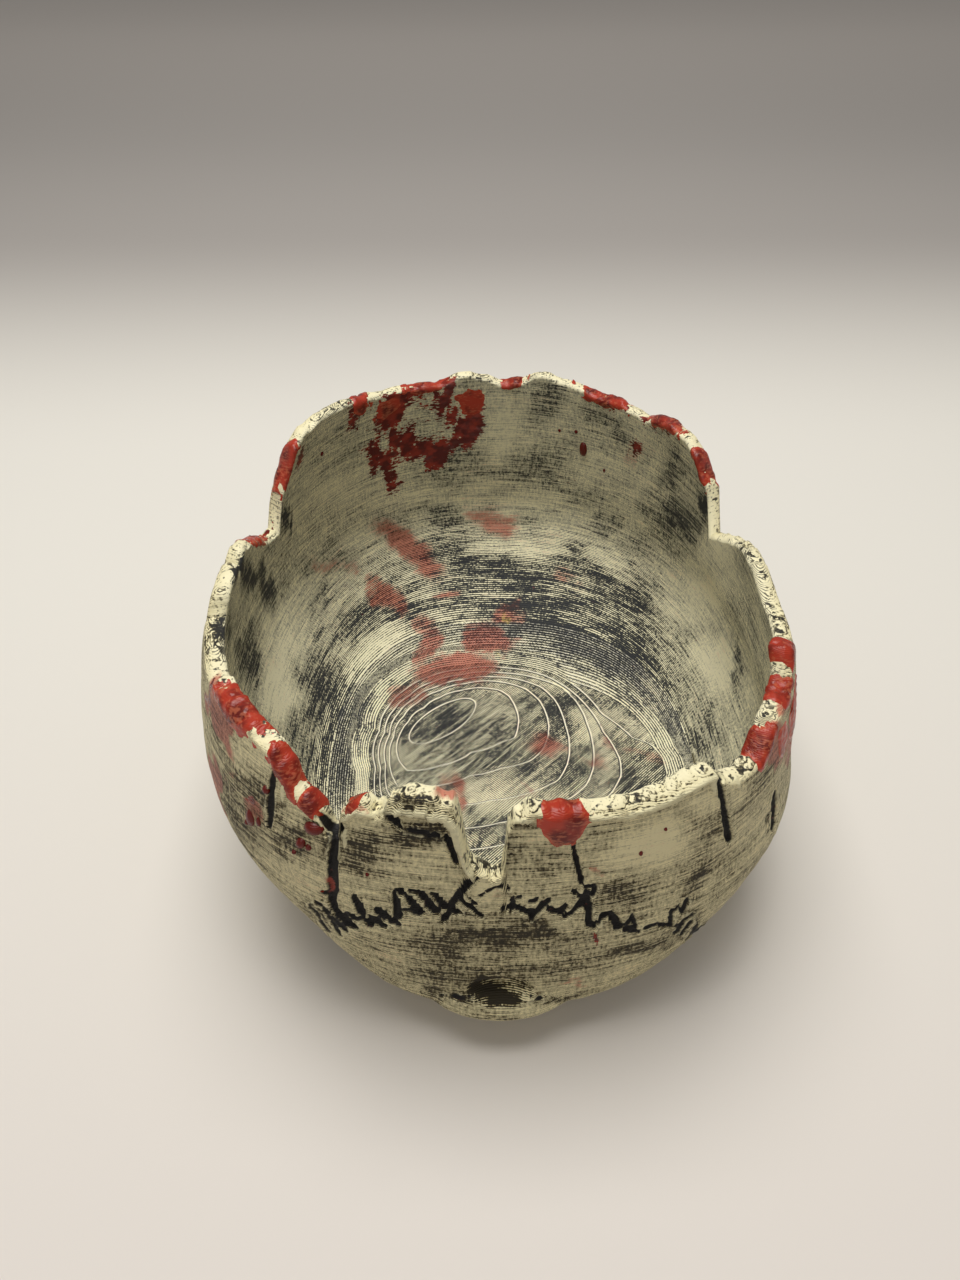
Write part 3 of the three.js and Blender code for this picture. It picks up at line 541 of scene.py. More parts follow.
def lumps(points, size, seed):
    """Smooth random values from -1 to 1 that change over about the given size."""
    grid = np.asarray(points, float).reshape(-1, 3) / size
    cell = np.floor(grid).astype(np.int64)
    part = grid - cell
    part = part * part * (3 - 2 * part)
    total = np.zeros(len(grid))
    for corner in itertools.product((0, 1), repeat=3):
        weight = np.prod(np.where(corner, part, 1 - part), axis=1)
        total += weight * hashed(cell + np.array(corner), seed)
    return total


def unevenness(points, table):
    return sum(most * lumps(points, size, seed) for most, size, seed in table)


def photo_pixel(points):
    away = points - CAMERA
    depth = away @ FORWARD
    column = FRAME_WIDTH / 2 + FOCAL * (away @ RIGHT) / depth
    row = FRAME_HEIGHT / 2 + FOCAL * (away @ DOWN) / depth
    return column, row


def at_height(column, row, z):
    """The point at a height that a pixel of the photograph shows."""
    right = (column - FRAME_WIDTH / 2) / FOCAL
    down = (row - FRAME_HEIGHT / 2) / FOCAL
    direction = FORWARD + RIGHT * right + DOWN * down
    return CAMERA + direction * (z - CAMERA[2]) / direction[2]


def swell(height, foot, reach, rise, rounding):
    share = np.clip(height / rise, 0, 1)
    return mix(foot, reach, (1 - (1 - share) ** rounding) ** (1 / rounding))


def outside_reach(z):
    z = np.asarray(z, float)
    lean = z / LEAN_HEIGHT
    sway = SWAY * np.sin(math.pi * np.clip(z / SWAY_HEIGHT, 0, 1) ** SWAY_SKEW)
    reach, foot, rise, rounding = SIDE
    side = swell(z, foot, reach, rise, rounding) - SIDE_LEAN * lean ** SIDE_LEAN_CURVE
    ends = {}
    for name, shape, most in (("back", BACK, BACK_LEAN), ("front", FRONT, FRONT_LEAN)):
        reach, foot, rise, rounding = shape
        ends[name] = swell(z, foot, reach, rise, rounding) - most * lean ** END_LEAN_CURVE
    return {"left": side - sway, "right": side + sway, **ends}


def cavity_reach(z):
    z = np.asarray(z, float)
    slant = WALL * math.sqrt(0.5)
    level = outside_reach(z)
    slanting = outside_reach(np.maximum(z - slant, 0))
    below = outside_reach(np.maximum(z - WALL, 0))
    reach = {}
    for side, (most, rise, rounding) in RISES.items():
        wanted = swell(z - FLOOR_HEIGHT, FLOOR[side], most, rise, rounding)
        reach[side] = np.minimum.reduce([wanted, level[side] - WALL, slanting[side] - slant, below[side]])
    return reach


def section_radius(bearing, reach):
    cosine = np.cos(np.radians(bearing))
    sine = np.sin(np.radians(bearing))
    across = np.abs(cosine) / np.where(cosine > 0, reach["right"], reach["left"])
    along = np.abs(sine) / np.where(sine > 0, reach["front"], reach["back"])
    return (across ** SQUARENESS + along ** SQUARENESS) ** (-1 / SQUARENESS)


def mound(feature, bearing, z, radius):
    at, height, half_width, half_height, out = feature
    across = np.radians(bearing - at) * radius / half_width
    up = (z - height) / half_height
    return out * np.clip(1 - across ** 2 - up ** 2, 0, 1)


def skin_radius(bearing, z):
    plain = section_radius(bearing, outside_reach(z))
    return plain + mound(BUMP, bearing, z, plain) + mound(PIT, bearing, z, plain)


def cavity_radius(bearing, z):
    return section_radius(bearing, cavity_reach(z))


def place(bearing, radius, z):
    angle = np.radians(bearing)
    return np.stack([radius * np.cos(angle), MIDDLE_Y + radius * np.sin(angle), z + 0 * angle], axis=-1)


def radial(bearing):
    """The level direction out from the bowl's middle."""
    return place(bearing, 1.0, 0.0) - [0, MIDDLE_Y, 0]


def rim_height(bearing, rough=1.0):
    """The rim's height, with the small teeth of the break."""
    plain = np.interp(bearing, *zip(*RIM))
    arc = place(bearing, RIM_RADIUS, np.zeros_like(bearing))
    return plain + rough * unevenness(arc, TEETH)


def rim_point(bearing, across, rough=1.0):
    """A point on the crumbled and chipped rim, or on the wall just below it on either side."""
    turn = np.clip(across, -1, 1) * math.pi / 2
    depth = np.maximum(np.abs(across) - 1, 0)
    z = rim_height(bearing, rough) - EDGE_DROP * (1 - np.cos(turn)) - depth
    radius = mix(skin_radius(bearing, z), cavity_radius(bearing, z), (1 + np.sin(turn)) / 2)
    point = place(bearing, radius, z)
    chips = sum(most * np.clip(lumps(point, size, seed) - level, 0, 1) for most, size, seed, level in CHIPS)
    point[..., 2] += rough * np.cos(turn).clip(0, 1) * (unevenness(point, CRUMBLE) - chips)
    return point


def facing(bearing, across):
    """Which way the smooth wall faces at a place across the rim."""
    step = 0.2
    along_wall = rim_point(bearing + step, across, 0) - rim_point(bearing - step, across, 0)
    over_wall = rim_point(bearing, across + step, 0) - rim_point(bearing, across - step, 0)
    normal = np.cross(along_wall, over_wall)
    return normal / np.linalg.norm(normal, axis=-1, keepdims=True)


def stroke_cover(points, strokes, wider=0.0):
    """How far each point lies in the strokes, from 0 to 1, and how deep or high they are there."""
    column, row = photo_pixel(points)
    fray = unevenness(points, STROKE_FRAY)
    cover = np.zeros(len(points))
    height = np.zeros(len(points))
    for most, marks in strokes:
        for (c0, r0, w0), (c1, r1, w1) in zip(marks, marks[1:]):
            length = (c1 - c0) ** 2 + (r1 - r0) ** 2
            share = np.clip(((column - c0) * (c1 - c0) + (row - r0) * (r1 - r0)) / length, 0, 1)
            away = np.hypot(column - mix(c0, c1, share), row - mix(r0, r1, share)) + fray
            edge = mix(w0, w1, share) / 2 + wider
            here = np.clip((edge + STROKE_SOFT - away) / (2 * STROKE_SOFT), 0, 1)
            cover = np.maximum(cover, here)
            height = np.maximum(height, here * most)
    return cover, height


def carved(points, outward, bearing):
    """Points moved for the cracks, seams and lips that the near side shows, and their marks."""
    seen = (bearing > NEAR_SIDE[0]) & (bearing < NEAR_SIDE[1])
    groove, depth = stroke_cover(points, CRACKS + SUTURE)
    halo, _ = stroke_cover(points, CRACKS + SUTURE, HALO)
    lip, height = stroke_cover(points, LIPS)
    halo = halo * (1 - groove)
    move = (height * (1 - groove) + HALO_HEIGHT * halo - depth) * seen
    ridge = np.maximum(lip, HALO_CREAM * halo) * (1 - groove)
    return points + outward * move[:, None], groove * seen, ridge * seen


def patch_cover(points, patches, grow=1.0):
    """The strongest patch over each point, with a wandering edge that fades out."""
    column, row = photo_pixel(points)
    column = column + unevenness(points, PATCH_RIGHT)
    row = row + unevenness(points, PATCH_DOWN)
    cover = np.zeros(len(points))
    for at_column, at_row, half_width, half_height, tilt, strength in patches:
        turn = math.radians(tilt)
        right = column - at_column
        down = row - at_row
        over = (right * math.cos(turn) + down * math.sin(turn)) / (half_width * grow)
        up = (down * math.cos(turn) - right * math.sin(turn)) / (half_height * grow)
        cover = np.maximum(cover, strength * (1 - smooth(*PATCH_FADE, np.hypot(over, up))))
    return cover


def column_bearings():
    near = np.arange(NEAR_FROM, NEAR_TO, NEAR_STEP)
    far = np.linspace(NEAR_TO, NEAR_FROM + 360, COLUMNS - len(near), endpoint=False)
    every = np.concatenate([near, far])
    return np.sort((every + 180) % 360 - 180)


def mesh_row(points, inside=0.0, rim=0.0, lip=0.0, layered=1.0, flat=0.0, groove=0.0, ridge=0.0):
    marks = {"inside": inside, "rim": rim, "lip": lip, "layered": layered, "flat": flat,
             "groove": groove, "ridge": ridge}
    return {"points": points, **{name: np.broadcast_to(value, len(points)) for name, value in marks.items()}}


def outside_row(bearing, z):
    """A row of the outside, with its cracks and seams cut in."""
    points = place(bearing, skin_radius(bearing, z), z)
    swelling = unevenness(points, SKIN_SWELL)[:, None]
    points, groove, ridge = carved(points + radial(bearing) * swelling, radial(bearing), bearing)
    return mesh_row(points, groove=groove, ridge=ridge)


def rim_row(bearing, across):
    """A row across the broken edge, with the lips that stand on it."""
    turn = across * math.pi / 2
    outward = -math.sin(turn) * radial(bearing) + math.cos(turn) * np.array([0, 0, 1.0])
    points, groove, ridge = carved(rim_point(bearing, np.full_like(bearing, across)), outward, bearing)
    broken = max(math.cos(turn), 0) ** BREAK_FADE
    layered = 1 - BREAK_HIDES * broken
    return mesh_row(points, (1 + across) / 2, broken, layered=layered, groove=groove, ridge=ridge)


def wall_height(z):
    """The height on the plain cavity that a height over the dished floor stands for."""
    start = LOWEST + LAYER * len(OUTLINES)
    return FLOOR_HEIGHT + (z - start) * (LOW_TOP - FLOOR_HEIGHT) / (LOW_TOP - start)


def dish_wall(bearing, z):
    """The cavity's wall at a height over the dished floor."""
    return place(bearing, cavity_radius(bearing, np.full_like(bearing, wall_height(z))), z)


def ring_reach(middle, ring, angle):
    """How far a ring of points lies from the middle, in every direction."""
    away = ring - middle
    at = np.arctan2(away[:, 1], away[:, 0])
    return np.interp(angle, at, np.hypot(away[:, 0], away[:, 1]), period=2 * math.pi)


def outline_reaches(angle):
    """How far each terrace's edge lies from the puddle's middle, in every direction."""
    middle = at_height(*PUDDLE_AT, LOWEST)
    turned = angle - PUDDLE_TURN
    reaches = [1 / np.hypot(np.cos(turned) / PUDDLE_LONG, np.sin(turned) / PUDDLE_WIDE)]
    for step, outline in enumerate(OUTLINES):
        ring = np.array([at_height(*pixel, LOWEST + LAYER * (step + 1)) for pixel in outline])
        reaches.append(np.maximum(ring_reach(middle, ring, angle), reaches[-1] + LEAST_TREAD))
    return reaches


def wall_reach(angle, z):
    """How far the cavity's wall lies from the puddle's middle at a height, in every direction."""
    bearing = np.linspace(-180, 180, WALL_SAMPLES, endpoint=False)
    return ring_reach(at_height(*PUDDLE_AT, LOWEST), dish_wall(bearing, z), angle)


def terrace_edges(bearing):
    """The edge of every terrace, from the lowest up, and which way is out from the puddle."""
    middle = at_height(*PUDDLE_AT, LOWEST)
    away = dish_wall(bearing, LOWEST + LAYER * TERRACES) - middle
    angle = np.arctan2(away[:, 1], away[:, 0])
    out = np.stack([np.cos(angle), np.sin(angle), 0 * angle], axis=1)
    reaches = outline_reaches(angle)
    known = len(reaches)
    for contour in range(known, TERRACES + 1):
        least = LEAST_TREAD if contour < known + JOINING else LEAST_STEP
        reaches.append(np.maximum(wall_reach(angle, LOWEST + LAYER * contour), reaches[-1] + least))
    edges = []
    for contour, reach in enumerate(reaches):
        edge = middle + out * reach[:, None]
        edge[:, 2] = LOWEST + LAYER * contour
        edges.append(edge + out * unevenness(edge, EDGE_WOBBLE)[:, None])
    return edges, out


def limited(room, most, share):
    """A distance, or a share of the room where that is less."""
    return np.minimum(most, share * room)[:, None]


def terrace_rows(bearing):
    """The floor's terraces from the wall inwards, each with a raised bead of plastic at its edge."""
    edges, out = terrace_edges(bearing)
    rise = np.array([0, 0, LAYER])
    rows = []
    for contour in range(TERRACES - 1, -1, -1):
        edge = edges[contour]
        room = np.linalg.norm((edges[contour + 1] - edge)[:, :2], axis=1)
        wide = smooth(WIDE_TREAD / 2, WIDE_TREAD, room)
        marks = {"inside": 1.0, "layered": 1 - wide, "flat": wide}
        if contour <= len(OUTLINES) + JOINING:
            foot = edges[contour + 1] - out * limited(room, *TREAD_FOOT)
            rows.append(mesh_row(foot, **marks))
            tread = edge + out * limited(room, *BEAD_END) + rise
            rows.append(mesh_row(tread, groove=TREAD_WASH * wide, **marks))
        bead = edge + out * limited(room, *BEAD_CREST) + rise * BEAD_LAYERS
        rows.append(mesh_row(bead, lip=(1 + wide) / 2, **marks))
        rows.append(mesh_row(edge, 1.0, layered=0.0, flat=1.0, groove=EDGE_WASH + WIDE_EDGE_WASH * wide))
    return rows + [mesh_row(edges[0] - out * TREAD_FOOT[0], 1.0, layered=0.0, flat=1.0)]


def shell_rows():
    """Every row of the shell: up the outside, over the rim, down the inside and in over the floor."""
    bearing = column_bearings()
    edge = rim_height(bearing) - EDGE_DROP
    rows = [outside_row(bearing, np.full_like(bearing, z)) for z in LOW_ROWS]
    for step in range(1, HIGH_ROWS + 1):
        rows.append(outside_row(bearing, mix(LOW_TOP, edge, step / (HIGH_ROWS + 1))))
    for across in np.linspace(-1, 1, RIM_ROWS):
        rows.append(rim_row(bearing, across))
    for step in range(1, INNER_ROWS + 1):
        z = mix(edge, LOW_TOP, step / INNER_ROWS)
        rows.append(mesh_row(place(bearing, cavity_radius(bearing, z), z), 1.0))
    half = bearing[::2]
    top_terrace = LOWEST + LAYER * TERRACES
    for step in range(1, WALL_ROWS + 1):
        rows.append(mesh_row(dish_wall(half, mix(LOW_TOP, top_terrace, step / WALL_ROWS)), 1.0))
    return rows + terrace_rows(half)


def strip_faces(first, first_count, second, second_count):
    """Faces between two rows, where the second may have half as many points."""
    at = np.arange(first_count)
    after = (at + 1) % first_count
    if first_count == second_count:
        return np.stack([first + at, first + after, second + after, second + at], axis=1).tolist()
    faces = []
    for pair in range(second_count):
        left, middle, right = first + 2 * pair, first + 2 * pair + 1, first + (2 * pair + 2) % first_count
        here, there = second + pair, second + (pair + 1) % second_count
        faces += [[left, middle, here], [middle, there, here], [middle, right, there]]
    return faces


def new_object(name, points, faces):
    mesh = bpy.data.meshes.new(name)
    mesh.from_pydata((np.asarray(points) * MM).tolist(), [], faces)
    mesh.shade_smooth()
    piece = bpy.data.objects.new(name, mesh)
    bpy.context.scene.collection.objects.link(piece)
    return piece


def write_marks(mesh, marks):
    for name, values in marks.items():
        mesh.attributes.new(name, "FLOAT", "POINT").data.foreach_set("value", values.astype(np.float32))


def painted_marks(points, normals, inside):
    """Where the photograph shows thin paint, and painted shade low on the outside's front, on the points
    that its camera sees.
    """
    to_camera = CAMERA - points
    seen = np.einsum("ij,ij->i", to_camera, normals) > 0
    indoors = seen & (inside > INSIDE_FROM)
    outdoors = seen & (inside < OUTSIDE_TO)
    # The wash marks hold the dark wash and, low on the outside's front, painted shade.
    lists = {
        "stain": (INSIDE_STAINS, OUTSIDE_STAINS), "blood": (INSIDE_BLOOD, OUTSIDE_BLOOD),
        "wash": (INSIDE_WASH, OUTSIDE_WASH_AND_SHADE), "pale": (INSIDE_PALE, OUTSIDE_PALE),
        "ochre": (INSIDE_OCHRE, []), "hatched": (HATCHED, HATCHED),
    }
    marks = {}
    for name, (within, without) in lists.items():
        grow = STAIN_GROWTH if name == "stain" else 1.0
        covers = (patch_cover(points, within, grow) * indoors, patch_cover(points, without, grow) * outdoors)
        marks[name] = np.maximum(*covers)
    return marks


def make_shell():
    rows = shell_rows()
    starts = np.cumsum([0] + [len(row["points"]) for row in rows])
    points = np.concatenate([row["points"] for row in rows])
    faces = []
    for index in range(len(rows) - 1):
        faces += strip_faces(starts[index], len(rows[index]["points"]), starts[index + 1],
                             len(rows[index + 1]["points"]))
    foot = len(points)
    floor = foot + 1
    points = np.concatenate([points, [[0, MIDDLE_Y, 0]], [at_height(*PUDDLE_AT, LOWEST)]])
    count = len(rows[0]["points"])
    faces += [[foot, (at + 1) % count, at] for at in range(count)]
    last = starts[-2]
    count = len(rows[-1]["points"])
    faces += [[floor, last + at, last + (at + 1) % count] for at in range(count)]
    shell = new_object("printed_shell", points, faces)
    names = [name for name in rows[0] if name != "points"]
    marks = {name: np.concatenate([row[name] for row in rows] + [np.zeros(2)]) for name in names}
    for name in ("inside", "flat"):
        marks[name][floor] = 1.0
    normals = np.zeros(len(points) * 3, np.float32)
    shell.data.vertex_normals.foreach_get("vector", normals)
    marks.update(painted_marks(points, normals.reshape(-1, 3), marks["inside"]))
    write_marks(shell.data, marks)
    return shell


def along(three, share, middle_at):
    """A value at a share of the way along three, on one curve whose bulge lies at middle_at."""
    start, middle, end = three
    skewed = share ** (math.log(0.5) / math.log(middle_at))
    return mix(start, end, share) + (middle - (start + end) / 2) * np.sin(math.pi * skewed) ** BLUNTNESS


def sheet_faces(columns, rows):
    """Faces of a closed sheet: its underside comes first, then its face."""
    top = columns * rows
    at = (np.arange(columns - 1)[:, None] * rows + np.arange(rows - 1)[None, :]).ravel()
    over = np.stack([top + at, top + at + rows, top + at + rows + 1, top + at + 1], axis=1).tolist()
    under = np.stack([at, at + 1, at + rows + 1, at + rows], axis=1).tolist()
    sides = []
    for column in range(columns - 1):
        first = column * rows
        last = first + rows - 1
        sides.append([first, first + rows, top + first + rows, top + first])
        sides.append([last + rows, last, top + last, top + last + rows])
    for row in range(rows - 1):
        end = (columns - 1) * rows + row
        sides.append([row + 1, row, top + row, top + row + 1])
        sides.append([end, end + 1, top + end + 1, top + end])
    return over + under + sides


def make_run(run):
    """A run of thick paint. Its edge is ragged where its uneven face dips under the shell's skin."""
    name, first, last, outer, inner, thick, middle_at = run
    margin = PAST_ENDS * (last - first)
    first, last = first - margin, last + margin
    columns = max(int(math.radians(last - first) * RIM_RADIUS / PAINT_STEP), LEAST_GRID)
    share = np.linspace(0, 1, columns)
    low = along(outer, share, middle_at) - HANG * (outer[1] < -1)
    high = along(inner, share, middle_at) + OVERLAP
    rows = max(int((high - low).max() * RIM_PLACE_LENGTH / PAINT_STEP), LEAST_GRID)
    up = np.linspace(0, 1, rows)
    across = mix(low[:, None], high[:, None], up[None, :]).ravel()
    bearing = np.repeat(mix(first, last, share), rows)
    skin = rim_point(bearing, across)
    normal = facing(bearing, across)
    crown = (np.sin(math.pi * share)[:, None] * np.sqrt(np.sin(math.pi * up).clip(0, 1))[None, :]).ravel()
    ragged = SMEARED if thick < SMEARED_BELOW else SMOOTH
    frayed = (ragged + FRAYED_EDGE) * (1 - crown) * unevenness(skin, PAINT_FRAY)
    swelling = smooth(*SHOULDER, crown) * FILM - DIP + unevenness(skin, PAINT_LUMPS) * ragged + frayed
    height = np.maximum(thick * swelling, DEEPEST)
    face = skin + normal * height[:, None]
    under = skin - normal * PAINT_SINK
    piece = new_object("paint_" + name, np.concatenate([under, face]), sheet_faces(columns, rows))
    film = (FILM_BY_SHARE / thick + FILM_BY_HEIGHT) * height
    write_marks(piece.data, {"film": np.concatenate([0 * film, film])})
    return piece


def drop_points(drop, seed):
    """Points and faces of one drop: rings out to its edge and under the skin, its crown and its base."""
    at, below, half_width, half_height, side, thick = drop
    out, wall_radius = (1, skin_radius) if side == "outside" else (-1, cavity_radius)
    sides = DROP_SIDES
    turn = np.arange(sides) * 2 * math.pi / sides * out
    middle = np.array([at])
    level = rim_height(middle, 0) - below
    radius = wall_radius(middle, level)
    around = np.stack([np.cos(turn), np.sin(turn), 0 * turn + seed], axis=1)
    wobble = 1 + unevenness(around, DROP_WOBBLE)
    points = []
    for reach, lift in DROP_RINGS:
        bearing = at + np.degrees(half_width * reach * wobble * np.cos(turn) / radius)
        z = level + half_height * reach * wobble * np.sin(turn)
        points.append(place(bearing, wall_radius(bearing, z) + out * thick * lift, z))
    for lift in (1, DROP_BASE):
        points.append(place(middle, radius + out * thick * lift, level))
    faces = []
    for ring in range(len(DROP_RINGS) - 1):
        faces += strip_faces((ring + 1) * sides, sides, ring * sides, sides)
    crown = len(DROP_RINGS) * sides
    base = crown - sides
    faces += [[crown, step, (step + 1) % sides] for step in range(sides)]
    faces += [[crown + 1, base + (step + 1) % sides, base + step] for step in range(sides)]
    return np.concatenate(points), faces


def make_drop(name, points, faces):
    """Drops as one object, dark all over as thick paint is."""
    piece = new_object(name, points, faces)
    write_marks(piece.data, {"film": np.full(len(points), DROP_FILM)})
    return piece


def make_splashes():
    points, faces = [], []
    for seed, drop in enumerate(SPLASHES):
        more_points, more_faces = drop_points(drop, FIRST_SPLASH_SEED + seed)
        faces += [[index + len(points) for index in face] for face in more_faces]
        points += more_points.tolist()
    return make_drop("fine_splashes", points, faces)


class Painter:
    """Builds a material's nodes with short calls, and keeps values under names for the sums."""

    def __init__(self, name, noises):
        self.material = bpy.data.materials.new(name)
        self.material.use_nodes = True
        self.tree = self.material.node_tree
        self.tree.nodes.clear()
        self.where = self.node("TexCoord").outputs["Object"]
        self.values = {kept: self.noise(self.where, *shape) for kept, shape in noises.items()}

    def __getitem__(self, name):
        """The value kept under a name, or the mesh's mark of that name where none is kept."""
        if name not in self.values:
            self.values[name] = self.node("Attribute", attribute_name=name).outputs["Fac"]
        return self.values[name]

    def __setitem__(self, name, value):
        self.values[name] = value

    def node(self, kind, **settings):
        node = self.tree.nodes.new("ShaderNode" + kind)
        for name, setting in settings.items():
            setattr(node, name, setting)
        return node

    def fill(self, socket, value):
        if isinstance(value, bpy.types.NodeSocket):
            self.tree.links.new(value, socket)
        elif socket.type == "RGBA":
            socket.default_value = (*value, 1.0)
        else:
            socket.default_value = value

    def feed(self, node, *values, **named):
        """A node's first output, once its inputs are filled in order or by name."""
        for socket, value in zip(node.inputs, values):
            self.fill(socket, value)
        for name, value in named.items():
            self.fill(node.inputs[name], value)
        return node.outputs[0]

    def axes(self):
        node = self.node("SeparateXYZ")
        self.feed(node, self.where)
        return node.outputs

    def turned(self, degrees):
        """The place turned round the upright axis."""
        node = self.node("VectorRotate", rotation_type="Z_AXIS")
        return self.feed(node, Vector=self.where, Angle=math.radians(degrees))

    def math(self, operation, *values):
        return self.feed(self.node("Math", operation=operation), *values)

    def product(self, first, second):
        return self.math("MULTIPLY", first, second)

    def total(self, base=0.0, **weights):
        """A base number plus the named values, each times its weight."""
        for name, weight in weights.items():
            base = self.math("MULTIPLY_ADD", self[name], weight, base)
        return base

    def between(self, share, first, second):
        """A value at a share of the way from the first to the second."""
        return self.math("MULTIPLY_ADD", self.math("SUBTRACT", second, first), share, first)

    def spread(self, value, low, high):
        """A value eased from 0 at a low number to 1 at a high one."""
        node = self.node("MapRange", interpolation_type="SMOOTHSTEP")
        return self.feed(node, value, low, high, 0.0, 1.0)

    def blend(self, factor, first, second):
        node = self.node("Mix", data_type="RGBA")
        colours = [socket for socket in node.inputs if socket.type == "RGBA"]
        for socket, value in zip((node.inputs[0], *colours), (factor, first, second)):
            self.fill(socket, value)
        return next(socket for socket in node.outputs if socket.type == "RGBA")

    def level(self, name):
        """How full a kind of paint is, from 0 to 1, kept under its name."""
        weights, low, high = LEVELS[name]
        self[name] = self.spread(self.total(**weights), low, high)
        return self[name]

    def coat(self, under, name, colour):
        """The colour so far under one more coat."""
        return self.blend(self.product(self.level(name), STRENGTH[name]), under, colour)

    def coat_rim(self, under, share, colour):
        """The colour so far under one more coat that only the rim gets."""
        return self.blend(self.product(share, self["rim"]), under, colour)

    def noise(self, vector, stretch, detail):
        """Noise whose features are about 1 / stretch long along each axis."""
        scaled = self.feed(self.node("VectorMath", operation="MULTIPLY"), vector, stretch)
        return self.feed(self.node("TexNoise"), Vector=scaled, Scale=1.0, Detail=detail)

    def ripple(self, value, period):
        """A row of round ridges along a coordinate, 0 in the gaps and 1 on the crests."""
        return self.math("ABSOLUTE", self.math("SINE", self.product(value, math.pi / period)))

    def bump(self, height, distance, strength):
        return self.feed(self.node("Bump"), Height=height, Distance=distance, Strength=strength)

    def finish(self, colour, roughness, **sockets):
        looks = {"Base Color": colour, "Roughness": roughness, **sockets}
        surface = self.feed(self.node("BsdfPrincipled"), **looks)
        self.fill(self.node("OutputMaterial").inputs[0], surface)
        return self.material


def bone_material():
    """Printed plastic under a dark wash and dry-brushed cream, with thin red over it."""
    paint = Painter("painted_bone", BONE_NOISES)
    x, y, z = paint.axes()
    paint["crest"] = paint.ripple(z, LAYER * MM)
    paint["layer_line"] = paint.product(paint["crest"], paint["layered"])
    paint["fill_line"] = paint.product(floor_raster(paint, x, y, z), paint["flat"])
    paint["scratch"] = paint.product(paint.noise(paint.turned(SCRATCH_TURN), *SCRATCH), paint["flat"])
    strokes = paint.total(**STROKES)
    paint["strokes"] = paint.between(paint.product(paint["flat"], FLAT_EVENNESS), strokes, FLAT_STROKES)
    colour = thin_red(paint, broken_edges(paint, brushed_bone(paint)))
    roughness = paint.total(BONE_ROUGHNESS, **BONE_SMOOTHED)
    normal = paint.bump(paint.total(**BONE_RELIEF), *BONE_BUMP)
    return paint.finish(colour, roughness, Normal=normal, **BONE_SHINE)


def floor_raster(paint, x, y, z):
    """Lines of plastic across each flat terrace, turned a quarter from one layer to the next."""
    diagonal = LINE * MM * math.sqrt(2)
    rising = paint.ripple(paint.math("ADD", x, y), diagonal)
    falling = paint.ripple(paint.math("SUBTRACT", x, y), diagonal)
    layer = paint.math("FLOOR", paint.math("DIVIDE", z, LAYER * MM))
    odd = paint.math("ABSOLUTE", paint.math("MODULO", layer, 2.0))
    return paint.between(odd, falling, rising)


def brushed_bone(paint):
    """Dark wash with as much cream over it as the brush left; the inside's lighter cream is partly painted
    light.
    """
    paint.level("tone")
    dark, half, pale = [paint.blend(paint["inside"], *pair) for pair in (DARK, HALF, PALE)]
    lower = paint.blend(paint.level("half_tone"), dark, half)
    return paint.blend(paint.level("pale_tone"), lower, pale)


def broken_edges(paint, colour):
    """Cream on ridges and beads, and black in the break's pits and layer lines and in the cracks."""
    colour = paint.coat(colour, "cream", CREAM)
    colour = paint.coat_rim(colour, paint.level("pits"), PIT_BLACK)
    gaps = paint.product(paint.level("gaps"), paint.level("hatching"))
    colour = paint.coat_rim(colour, gaps, PIT_BLACK)
    colour = paint.coat(colour, "bead", BEAD)
    return paint.coat(colour, "crack", GROOVE_BLACK)


def thin_red(paint, colour):
    """Smeared stains that the layers show through, specks of ochre and spattered blood."""
    colour = paint.coat(colour, "smeared", paint.blend(paint["tone"], *STAINED))
    colour = paint.coat(colour, "specks", OCHRE)
    return paint.coat(colour, "spattered", paint.blend(paint.level("thick_blood"), *BLOOD))


def gloss_material():
    """Thick clear red, near black where it pools and pale where it is thin over the bone."""
    paint = Painter("gloss_red", GLOSS_NOISES)
    paint["crest"] = paint.ripple(paint.axes()[2], LAYER * MM)
    colour = paint.coat(paint.blend(paint.level("thick_gloss"), *GLOSS), "bare", BARE_RED)
    normal = paint.bump(paint.total(**GLOSS_RELIEF), *GLOSS_BUMP)
    return paint.finish(colour, GLOSS_ROUGHNESS, Normal=normal, **GLOSS_SHINE)


def floor_material():
    """A pale sweep with painted light round the bowl and painted shade towards the back."""
    paint = Painter("pale_sweep", {})
    y = paint.axes()[1]
    colour = TABLE_FRONT
    for near, far, shade in TABLE_PAINTED_LIGHT_AND_SHADE:
        colour = paint.blend(paint.spread(y, near, far), colour, shade)
    return paint.finish(colour, TABLE_ROUGHNESS)


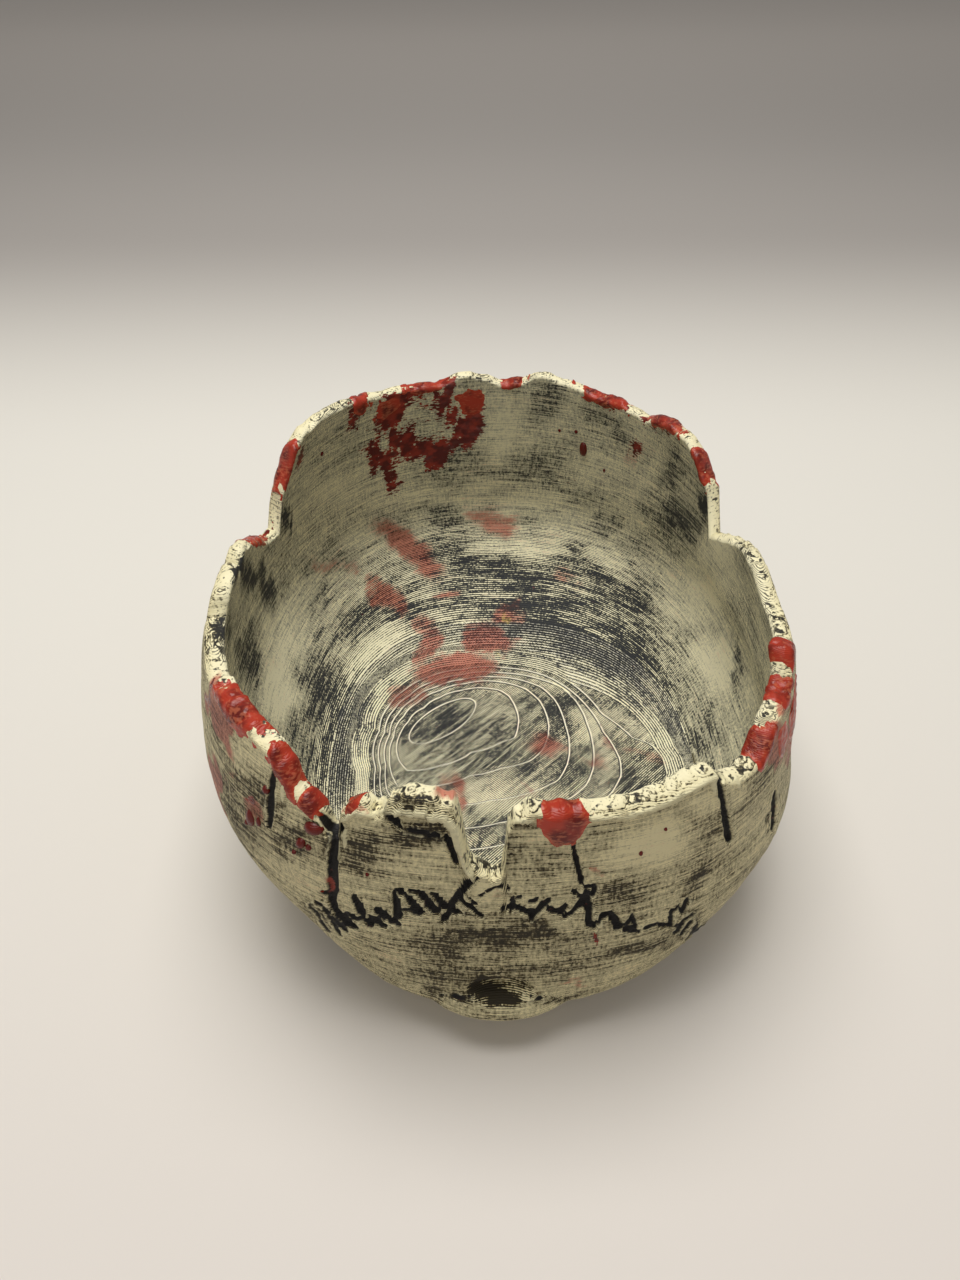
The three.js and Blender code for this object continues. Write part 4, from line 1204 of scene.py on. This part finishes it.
def dress(piece, material, slot, *nodes):
    piece.data.materials.append(material)
    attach(piece, "root")
    if nodes:
        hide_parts(*nodes)


def make_stage():
    far = TABLE_REACH
    corners = [(-far, -far, 0), (far, -far, 0), (far, far, 0), (-far, far, 0)]
    floor = new_object("floor", corners, [[0, 1, 2, 3]])
    floor.data.materials.append(floor_material())


def stand(name, data, axes, at):
    """A new object at a place, with its own axes turned as given."""
    holder = bpy.data.objects.new(name, data)
    matrix = Matrix.Identity(4)
    for column, axis in enumerate((*axes, at)):
        for row in range(3):
            matrix[row][column] = float(axis[row])
    holder.matrix_world = matrix
    bpy.context.scene.collection.objects.link(holder)
    return holder


def make_lamp(name, at, size, power, colour):
    """A square lamp that faces the bowl."""
    lamp = bpy.data.lights.new(name, "AREA")
    lamp.size = size
    lamp.energy = power
    lamp.color = colour
    back = np.array(at) - LAMP_AIM
    back /= np.linalg.norm(back)
    side = np.cross([0.0, 1.0, 0.0], back)
    side /= np.linalg.norm(side)
    stand(name, lamp, (side, np.cross(back, side), back), at)


def make_light():
    for name, lamp in LAMPS.items():
        make_lamp(name, *lamp)
    world = bpy.data.worlds.new("room")
    world.use_nodes = True
    background = world.node_tree.nodes["Background"]
    background.inputs["Color"].default_value = (*ROOM_COLOUR, 1.0)
    background.inputs["Strength"].default_value = ROOM_STRENGTH
    bpy.context.scene.world = world


def make_camera():
    camera = bpy.data.cameras.new("camera")
    camera.sensor_width = SENSOR
    camera.sensor_fit = "AUTO"
    camera.lens = FOCAL * SENSOR / FRAME_HEIGHT
    camera.clip_start = NEAREST_SEEN
    bpy.context.scene.camera = stand("camera", camera, (RIGHT, -DOWN, -FORWARD), CAMERA * MM)


make_camera()
make_light()
make_stage()
bone = bone_material()
gloss = gloss_material()
dress(make_shell(), bone, "shell", "skull_shell")
for run in RUNS:
    dress(make_run(run), gloss, "blood_paint", run[0])
for seed, (name, drop) in enumerate(DROPS.items()):
    dress(make_drop("paint_" + name, *drop_points(drop, seed)), gloss, "blood_paint", name)
dress(make_splashes(), gloss, "blood_paint")
bpy.context.scene.view_settings.view_transform = "Standard"
